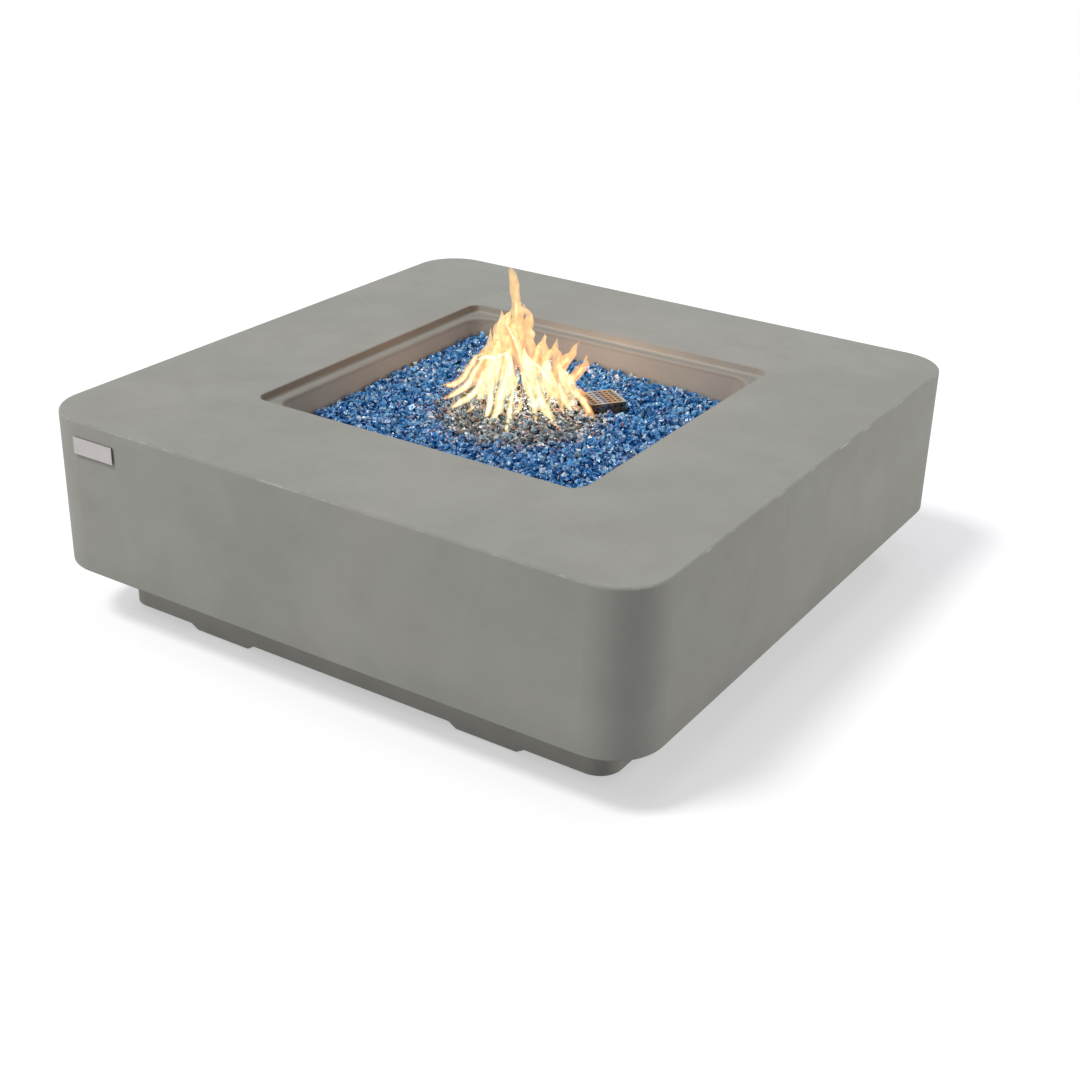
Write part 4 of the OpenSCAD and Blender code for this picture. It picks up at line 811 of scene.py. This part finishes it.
def flame_material(name, hot, cool, level, density):
    """Burning gas: it glows, hottest low in the middle, and hides a little of what is behind it."""
    made, place = bare_material(name)
    middle = join("VectorMath", {0: place, 1: FIRE_HEART}, operation="SUBTRACT").outputs[0]
    away = length_of(stretched(middle, FIRE_ROUND))
    streaks = noise_of(stretched(place, FIRE_DRAWN), *STREAK_NOISE)
    heat = spread(plus(away, times(streaks, 0.05)), *FIRE_HOT)
    body = spread(parts_of(place)[2], FLAME_TOP, FLAME_FADE, 0.10, 1.0)
    strength = spread(streaks, 0.30, 0.70, 0.55 * level * density, 1.35 * level * density)
    fire = join("Emission", {"Color": mix(heat, cool, hot), "Strength": times(strength, body)})
    veil = join("VolumeAbsorption", {"Color": BLACK, "Density": times(body, density)})
    both = join("AddShader", {0: fire.outputs[0], 1: veil.outputs[0]})
    join("OutputMaterial", {"Volume": both.outputs[0]})
    return made


# Fire glass
def bed_level(x, y):
    """Height of the bed of glass, on the same surface as its solid."""
    u, v = (x + FLOOR_HALF) / (2 * FLOOR_HALF), (y + FLOOR_HALF) / (2 * FLOOR_HALF)
    front = BED_DEPTHS["front_left"] * (1 - u) + BED_DEPTHS["front_right"] * u
    back = BED_DEPTHS["back_left"] * (1 - u) + BED_DEPTHS["back_right"] * u
    away = min(math.hypot(x, y) / FLOOR_HALF, 1.0)
    return PAN_TOP + front * (1 - v) + back * v + BED_MOUND * (1 + math.cos(math.pi * away)) / 2


def well_half(z):
    """Half the width of the well at a height."""
    return LEDGE_HALF - (LEDGE - z) * WELL_SLOPE


def room_to_wall(x, y, z):
    """How far a place in the well is from its wall."""
    half, corner = well_half(z), WELL_CORNER - (LEDGE - z) * WELL_SLOPE
    over_x, over_y = abs(x) - (half - corner), abs(y) - (half - corner)
    if over_x > 0 and over_y > 0:
        return corner - math.hypot(over_x, over_y)
    return half - max(abs(x), abs(y))


def in_guard(x, y, margin):
    """Whether a place is under the guard or nearer to it than a margin."""
    along = x * math.cos(GUARD_BEARING) + y * math.sin(GUARD_BEARING) - GUARD_DISTANCE
    across = -x * math.sin(GUARD_BEARING) + y * math.cos(GUARD_BEARING)
    return abs(along) < GUARD_LENGTH / 2 + margin and abs(across) < GUARD_WIDTH / 2 + margin


def chip_shapes(chance):
    """Broken pieces of glass, each the hull of a few scattered corners."""
    shapes = []
    for index in range(CHIP_SHAPES):
        bm = bmesh.new()
        long, wide, thick = [chance.uniform(*sizes) for sizes in CHIP_SHARES]
        for corner in range(CHIP_CORNERS):
            way = Vector([chance.uniform(-1, 1) for axis in range(3)]).normalized()
            bm.verts.new((way.x * long, way.y * wide, way.z * thick))
        hull = bmesh.ops.convex_hull(bm, input=bm.verts)
        spare = [v for v in hull["geom_interior"] if isinstance(v, bmesh.types.BMVert)]
        bmesh.ops.delete(bm, geom=spare, context="VERTS")
        bmesh.ops.recalc_face_normals(bm, faces=bm.faces)
        shapes.append(mesh_of(bm, "chip_shape"))
    return shapes


def chip_row(row, layer, chance, shapes):
    """One row of chips across the well, as a mesh."""
    pitch, drop, jump = layer
    bm = bmesh.new()
    tone = bm.verts.layers.float.new("tone")
    steps = int(LEDGE_HALF / pitch)
    for i in range(-steps, steps + 1):
        x = (i + 0.5 * (row % 2) + chance.uniform(-CHIP_JITTER, CHIP_JITTER)) * pitch
        y = (row + chance.uniform(-CHIP_JITTER, CHIP_JITTER)) * pitch
        size = chance.uniform(*CHIP_SIZES)
        z = bed_level(x, y) + drop + chance.uniform(-jump, jump)
        if room_to_wall(x, y, z) < size * CHIP_WALL_ROOM or in_guard(x, y, size * CHIP_GUARD_ROOM):
            continue
        shape = chance.choice(shapes)
        bm.from_mesh(shape)
        bm.verts.ensure_lookup_table()
        fresh = bm.verts[-len(shape.vertices):]
        turn = Euler([chance.uniform(0, 2 * math.pi) for axis in range(3)]).to_matrix().to_4x4()
        move = Matrix.Translation((x, y, z)) @ turn @ Matrix.Scale(size, 4)
        bmesh.ops.transform(bm, matrix=move, verts=fresh)
        shade = chance.random()
        for vert in fresh:
            vert[tone] = shade
    return mesh_of(bm, "chip_row")


def scatter_chips(name, layer, chance, shapes, made):
    """A layer of loose chips over the whole bed, as one piece."""
    bm = bmesh.new()
    bm.verts.layers.float.new("tone")
    steps = int(LEDGE_HALF / layer[0])
    for row in range(-steps, steps + 1):
        mesh = chip_row(row, layer, chance, shapes)
        bm.from_mesh(mesh)
        bpy.data.meshes.remove(mesh)
    finish_piece(name, bm, made, "table", None, ("fire_glass",))


def make_bed(made):
    """The deeper glass, under the chips that show."""
    bm = bmesh.new()
    bmesh.ops.create_grid(bm, x_segments=BED_STEPS, y_segments=BED_STEPS, size=1.0)
    reach, corner = well_half(PAN_TOP) - BED_WALL_GAP, BED_CORNER
    for vert in bm.verts:
        x, y = vert.co.x * LEDGE_HALF, vert.co.y * LEDGE_HALF
        z = bed_level(x, y) - BED_BELOW
        x, y = vert.co.x * reach, vert.co.y * reach
        over_x, over_y = abs(x) - (reach - corner), abs(y) - (reach - corner)
        if over_x > 0 and over_y > 0 and math.hypot(over_x, over_y) > corner:
            share = corner / math.hypot(over_x, over_y)
            x = math.copysign(reach - corner + over_x * share, x)
            y = math.copysign(reach - corner + over_y * share, y)
        vert.co = (x, y, z)
    sheet = bmesh.ops.extrude_face_region(bm, geom=bm.faces[:])
    for vert in [g for g in sheet["geom"] if isinstance(g, bmesh.types.BMVert)]:
        vert.co.z = PAN_TOP + BED_PAN_GAP
    finish_piece("glass_bed", bm, made, "table", BED_SMOOTH, ("fire_glass",))


def make_glass():
    chance = random.Random(41)
    shapes = chip_shapes(chance)
    made = chip_material()
    make_bed(bed_material())
    for number, layer in enumerate(CHIP_LAYERS, 1):
        scatter_chips("glass_chips_%d" % number, layer, chance, shapes, made)
    for shape in shapes:
        bpy.data.meshes.remove(shape)


# Flame
# Each tongue runs from the glass through points of the picture to its tip: their x and y, its greatest
# radius, how far behind (+) or in front (-) of the table's middle its tip stands, and its kind of fire
TONGUES = [
    ((512, 384, 513, 362, 515, 343, 518, 326, 521, 312, 519, 301), 0.0125, 0.02, "lobe"),
    ((521, 372, 520, 352, 523, 336, 529, 323, 528, 314, 521, 302), 0.0100, 0.03, "lobe"),
    ((476, 392, 480, 374, 488, 358, 497, 344, 500, 328, 505, 314), 0.0175, 0.04, "lobe"),
    ((492, 390, 496, 370, 499, 350, 499, 332, 501, 309), 0.0150, 0.04, "lobe"),
    ((532, 384, 532, 368, 532, 350, 531, 338, 532, 327), 0.0120, 0.05, "lobe"),
    ((546, 390, 545, 374, 543, 358, 544, 345, 545, 332), 0.0120, 0.05, "lobe"),
    ((564, 396, 561, 380, 558, 364, 556, 350, 557, 337), 0.0130, 0.04, "lobe"),
    ((552, 388, 557, 374, 564, 363, 572, 354, 579, 342), 0.0120, 0.03, "lobe"),
    ((566, 396, 570, 382, 578, 373, 586, 365, 586, 355), 0.0095, 0.01, "lobe"),
    ((474, 384, 480, 366, 487, 350, 490, 338, 490, 327), 0.0060, 0.01, "lobe"),
    ((506, 378, 508, 354, 506, 336, 508, 322, 512, 308), 0.0130, 0.00, "tongue"),
    ((496, 382, 499, 360, 498, 342, 497, 328), 0.0120, 0.01, "tongue"),
    ((524, 380, 522, 362, 518, 345, 514, 330, 515, 316), 0.0120, 0.00, "tongue"),
    ((484, 384, 488, 368, 494, 354, 497, 344), 0.0120, 0.01, "tongue"),
    ((538, 378, 542, 364, 549, 354, 556, 348), 0.0100, 0.03, "tongue"),
    ((533, 376, 535, 362, 538, 350, 541, 342), 0.0095, 0.03, "tongue"),
    ((552, 384, 557, 370, 566, 361, 574, 353), 0.0095, 0.02, "tongue"),
    ((566, 392, 571, 380, 579, 372, 586, 362), 0.0075, 0.00, "tongue"),
    ((442, 384, 452, 385, 463, 379, 471, 366, 476, 357, 488, 353), 0.0072, 0.02, "tongue"),
    ((441, 400, 455, 394, 468, 384, 474, 373, 482, 360, 490, 350), 0.0078, 0.00, "tongue"),
    ((447, 411, 460, 403, 475, 392, 482, 378, 488, 362), 0.0072, -0.01, "tongue"),
    ((466, 413, 471, 409, 477, 404), 0.0030, -0.06, "thin"),
    ((484, 423, 488, 410, 491, 392, 494, 376, 498, 358), 0.0072, -0.02, "tongue"),
    ((489, 424, 498, 411, 501, 394, 506, 376, 508, 354), 0.0098, -0.02, "tongue"),
    ((506, 438, 508, 422, 511, 406, 513, 391, 514, 368), 0.0062, -0.03, "tongue"),
    ((514, 416, 519, 408, 522, 398), 0.0042, -0.05, "thin"),
    ((535, 422, 534, 406, 530, 392, 525, 376, 520, 356), 0.0075, -0.02, "tongue"),
    ((557, 427, 548, 415, 541, 400, 537, 385, 533, 368), 0.0095, -0.02, "tongue"),
    ((550, 409, 549, 397, 552, 385, 549, 368), 0.0050, -0.03, "thin"),
    ((563, 414, 560, 403, 555, 390, 552, 376), 0.0050, -0.03, "thin"),
    ((574, 413, 567, 404, 561, 391, 557, 376), 0.0060, -0.02, "tongue"),
    ((593, 419, 587, 406, 578, 395, 569, 384, 564, 368), 0.0088, -0.01, "tongue"),
    ((590, 397, 579, 391, 569, 387), 0.0048, 0.00, "thin"),
    ((478, 400, 486, 384, 494, 368, 500, 352), 0.0150, 0.01, "heart"),
    ((504, 402, 506, 386, 508, 368, 509, 348), 0.0160, 0.01, "heart"),
    ((530, 398, 530, 382, 528, 366, 524, 348), 0.0150, 0.01, "heart"),
    ((554, 400, 551, 386, 548, 372, 545, 356), 0.0150, 0.01, "heart"),
    ((574, 400, 569, 388, 564, 376, 560, 364), 0.0120, 0.01, "heart"),
    ((504, 319, 511, 333, 517, 345, 520, 357, 526, 371, 531, 384), 0.0024, -0.05, "strand"),
    ((532, 361, 538, 366, 546, 377, 553, 383, 562, 389), 0.0028, -0.05, "strand"),
    ((476, 360, 486, 357, 496, 358, 504, 354, 511, 353), 0.0040, -0.03, "strand"),
    ((511, 354, 511, 366, 507, 377, 501, 386), 0.0022, -0.06, "strand"),
    ((570, 374, 569, 384, 573, 393, 582, 402), 0.0022, -0.04, "strand"),
]
# The middle column: points of the picture from the glass up, each with its share of the radius
COLUMN = [(533, 380, 0.3), (525, 360, 0.7), (520, 343, 0.95), (516.5, 326, 1.0), (516.5, 313, 1.0),
          (516, 298, 0.95), (514.5, 286, 0.95), (513, 277, 0.80), (511, 271, 0.50), (509.5, 267, 0.15)]
COLUMN_RADIUS = 0.0092
CORE_SHARE = 0.58
GLASS_Z = 0.299
# The points of a smooth line between two given ones, and how strongly a tongue is drawn into waves
LINE_STEPS = 6
WAVES = 0.42
STRAND_WAVES = 0.15
COLUMN_WAVES = 0.20
WAVE_SCALE = (38, 38, 22)
WAVE_SEED = 3
# The tongues at the burner's far side: how many, the first bearing and the step to the next, and the
# ranges of their distance from the middle, height, lean inward and radius
RING = (9, 35, 15)
RING_REACH = (0.090, 0.105)
RING_RISE = (0.05, 0.09)
RING_LEAN = (0.40, 0.62)
RING_RADIUS = (0.0050, 0.0080)
# Each kind of fire: its hot and cool colours, how bright it looks, and how much it hides of what is behind
FIRES = {
    "lobe": ((1.0, 0.88, 0.46, 1.0), (1.0, 0.52, 0.24, 1.0), 1.45, 52),
    "plume": ((1.0, 0.84, 0.42, 1.0), (1.0, 0.66, 0.30, 1.0), 1.20, 60),
    "heart": ((1.0, 0.86, 0.50, 1.0), (1.0, 0.74, 0.34, 1.0), 2.0, 36),
    "sheath": ((1.0, 0.78, 0.36, 1.0), (1.0, 0.48, 0.20, 1.0), 1.25, 110),
    "core": ((1.0, 0.92, 0.62, 1.0), (1.0, 0.76, 0.38, 1.0), 2.3, 260),
    "strand": ((1.0, 0.92, 0.62, 1.0), (1.0, 0.84, 0.46, 1.0), 1.7, 170),
}


def flame_point(pixel, share, behind):
    """A point in a pixel's line of sight, on the glass at share 0 and over the table's middle at 1."""
    ray = sight(*pixel)
    facing = Vector((ray.x, ray.y, 0)).normalized()
    on_glass = (GLASS_Z - CAMERA_PLACE.z) / ray.z
    in_middle = (facing.dot(-CAMERA_PLACE) + behind) / facing.dot(ray)
    return CAMERA_PLACE + ray * (on_glass * (1 - share) + in_middle * share)


def tongue_profile(share):
    """The radius along a tongue, as a share of its greatest."""
    full = math.sin(math.pi * min(1.0, share ** 0.85)) ** 0.9
    return 0.08 + 0.92 * full * (1 - 0.20 * share) - 0.06 * share


def smooth_line(points):
    """Points on a smooth curve through the given ones."""
    padded = [points[0] * 2 - points[1]] + list(points) + [points[-1] * 2 - points[-2]]
    line = []
    for a, b, c, d in zip(padded, padded[1:], padded[2:], padded[3:]):
        for step in range(LINE_STEPS):
            t = step / LINE_STEPS
            line.append(0.5 * (2 * b + (c - a) * t + (2 * a - 5 * b + 4 * c - d) * t ** 2
                               + (3 * b - a - 3 * c + d) * t ** 3))
    return line + [points[-1]]


def make_tongue(name, line, radii, made, seed, waves=WAVES):
    """A tongue of flame as a tube of changing width, its surface drawn into waves."""
    curve = bpy.data.curves.new(name, "CURVE")
    curve.dimensions = "3D"
    curve.bevel_depth = 1.0
    curve.bevel_resolution = 3
    curve.use_fill_caps = True
    spline = curve.splines.new("POLY")
    spline.points.add(len(line) - 1)
    for point, place, radius in zip(spline.points, line, radii):
        point.co = (*place, 1.0)
        point.radius = radius
    bm = bmesh_of_curve(curve)
    greatest = max(radii)
    for vert in bm.verts:
        x, y, z = (part * scale for part, scale in zip(vert.co, WAVE_SCALE))
        vert.co += noise.noise_vector(Vector((x, y, z + seed * 9.7))) * greatest * waves
    bmesh.ops.remove_doubles(bm, verts=bm.verts, dist=0.00001)
    tongue = finish_piece(name, bm, made, None)
    tongue.visible_shadow = False


def ring_lines():
    """Tongues at the far side of the burner, which the others partly hide."""
    chance = random.Random(5)
    lines = []
    count, first, step = RING
    for number in range(count):
        angle = math.radians(first + step * number + chance.uniform(-5, 5))
        start = Vector((math.cos(angle), math.sin(angle), 0)) * chance.uniform(*RING_REACH)
        rise = chance.uniform(*RING_RISE)
        lean = chance.uniform(*RING_LEAN)
        points = [start * (1 - lean * along) + Vector((0, 0, GLASS_Z + rise * up))
                  for along, up in ((0, 0), (0.35, 0.30), (0.8, 0.68), (1, 1))]
        lines.append((smooth_line(points), chance.uniform(*RING_RADIUS), "lobe"))
    return lines


def tongue_lines():
    """The line, radius and kind of each tongue that the picture shows."""
    lines = []
    for numbers, radius, behind, kind in TONGUES:
        pixels = list(zip(numbers[::2], numbers[1::2]))
        last = len(pixels) - 1
        start = 0.75 if kind == "strand" else 0.0
        points = [flame_point(pixel, start + (1 - start) * (index / last) ** 0.8, behind)
                  for index, pixel in enumerate(pixels)]
        lines.append((smooth_line(points), radius, kind))
    return lines


def make_core(name, line, radius, made, seed):
    """The bright inside of a tongue."""
    first, end = len(line) // 8, len(line) * 6 // 7
    radii = [radius * CORE_SHARE * tongue_profile((index + 1) / (end - first + 1))
             for index in range(end - first)]
    make_tongue(name, line[first:end], radii, made, seed)


def make_column(made, seed=71):
    """The tall column in the middle, with its core."""
    last = len(COLUMN) - 1
    line = smooth_line([flame_point((x, y), (index / last) ** 0.5, 0.0)
                        for index, (x, y, width) in enumerate(COLUMN)])
    widths = [width for x, y, width in COLUMN]
    radii = []
    for index in range(len(line)):
        place = index / LINE_STEPS
        low = min(int(place), last - 1)
        radii.append(COLUMN_RADIUS * (widths[low] + (widths[low + 1] - widths[low]) * (place - low)))
    make_tongue("tongue_column", line, radii, made["plume"], seed, COLUMN_WAVES)
    core = len(line) * 5 // 9
    inner = [0.6 * radius * (1 - 0.85 * index / core) for index, radius in enumerate(radii[:core])]
    make_tongue("core_column", line[:core], inner, made["core"], seed, COLUMN_WAVES)


def make_flame():
    noise.seed_set(WAVE_SEED)
    made = {kind: flame_material("flame_" + kind, *looks) for kind, looks in FIRES.items()}
    for number, (line, radius, kind) in enumerate(tongue_lines() + ring_lines(), 1):
        radii = [radius * tongue_profile(index / (len(line) - 1)) for index in range(len(line))]
        looks = made["sheath"] if kind in ("tongue", "thin") else made[kind]
        waves = STRAND_WAVES if kind == "strand" else WAVES
        make_tongue("tongue_%02d" % number, line, radii, looks, number, waves)
        if kind == "tongue":
            make_core("core_%02d" % number, line, radius, made["core"], number)
    make_column(made)


# Dress the CAD nodes. Each row is a material's name, the nodes that wear it, its colours and other values
ACROSS = (1.0, 30.0, 30.0)
ALONG = (30.0, 1.0, 30.0)
CONCRETES = [
    ("grey_cast_concrete", "concrete_body", (163, 163, 158), (149, 149, 143), 0.75, 0.55, 0.5, True),
    ("base_cast_concrete", "base_casting", (168, 167, 161), (152, 151, 144), 0.8, 0.7, 0.4),
]
CAST_METALS = [
    ("brass", "body_inserts pan_inserts air_mixer gas_jet jet_elbow box_inserts valve_bonnet valve_body "
     "valve_plug inlet_fitting inlet_locknut", (214, 176, 98), (150, 112, 60), 0.26),
    ("zinc_plated_steel", "base_washers base_bolts hub_locknut valve_stem",
     (196, 200, 204), (140, 142, 140), 0.30),
    ("screw_steel", "pan_screws guard_screws box_screws valve_screws inlet_screws",
     (178, 179, 182), (110, 110, 112), 0.28),
    ("heated_steel", "burner_ring burner_saddles", (150, 128, 104), (84, 74, 72), 0.38),
    ("spring_wire", "spark_electrode stem_spring battery_spring button_spring",
     (206, 206, 208), (150, 150, 150), 0.22),
    ("copper_alloy", "thermocouple thermocouple_lead", (190, 128, 92), (120, 78, 60), 0.30),
    ("satin_chrome", "igniter_cap", (216, 218, 220), (200, 202, 204), 0.16),
]
PLASTICS = [
    ("black_plastic", "igniter_barrel igniter_nut", (34, 34, 36), (48, 48, 50), 0.42, 0.00005, 0.12),
    ("black_rubber", "foot_pads", (30, 30, 30), (52, 51, 49), 0.62, 0.0001),
    ("plate_foam", "name_plate_pad", (44, 34, 34), (62, 48, 48), 0.8, 0.0002),
    ("white_ceramic", "spark_insulator", (236, 234, 226), (214, 206, 190), 0.18),
    ("red_plastic", "igniter_button", (176, 30, 24), (196, 48, 36), 0.22, 0.00002),
    ("red_silicone", "igniter_lead", (168, 44, 32), (190, 66, 48), 0.45),
    ("battery_label", "igniter_battery", (58, 64, 72), (88, 94, 102), 0.25, 0.00001),
]
# Brushed metals have one colour, the stretch of their lines, their roughness and their dust
BRUSHED_METALS = [
    ("brushed_stainless", "sensor_bracket control_box inlet_bracket", (196, 197, 199), ACROSS, 0.30),
    ("pan_stainless", "burner_pan", (180, 180, 180), ACROSS, 0.36, 0.3),
    ("pipe_aluminium", "burner_pipe inlet_pipe", (206, 208, 210), ALONG, 0.28, 0.2),
]


def dress_all():
    """Gives every CAD node its material."""
    makers = {concrete_material: CONCRETES, cast_metal_material: CAST_METALS, plastic_material: PLASTICS}
    for maker, rows in makers.items():
        for name, nodes, first, second, *rest in rows:
            dress(nodes, maker(name, paint(*first), paint(*second), *rest))
    for name, nodes, colour, *rest in BRUSHED_METALS:
        dress(nodes, brushed_material(name, paint(*colour), *rest))
    plate = brushed_material("satin_plate", paint(216, 210, 211), ACROSS, 0.36, 0.0, 0.00003,
                             Metallic=0.15, Coat_Weight=0.3, Coat_Roughness=0.25)
    dress("name_plate", plate)
    dress("igniter_guard", guard_material())
    dress("knob_bezel", bezel_material())
    dress("control_knob", knob_material())


make_camera()
make_world()
make_floor()
make_lights()
make_groups()
dress_all()
make_dial_words()
make_glass()
make_flame()

scene = bpy.context.scene
scene.view_settings.view_transform = "Standard"
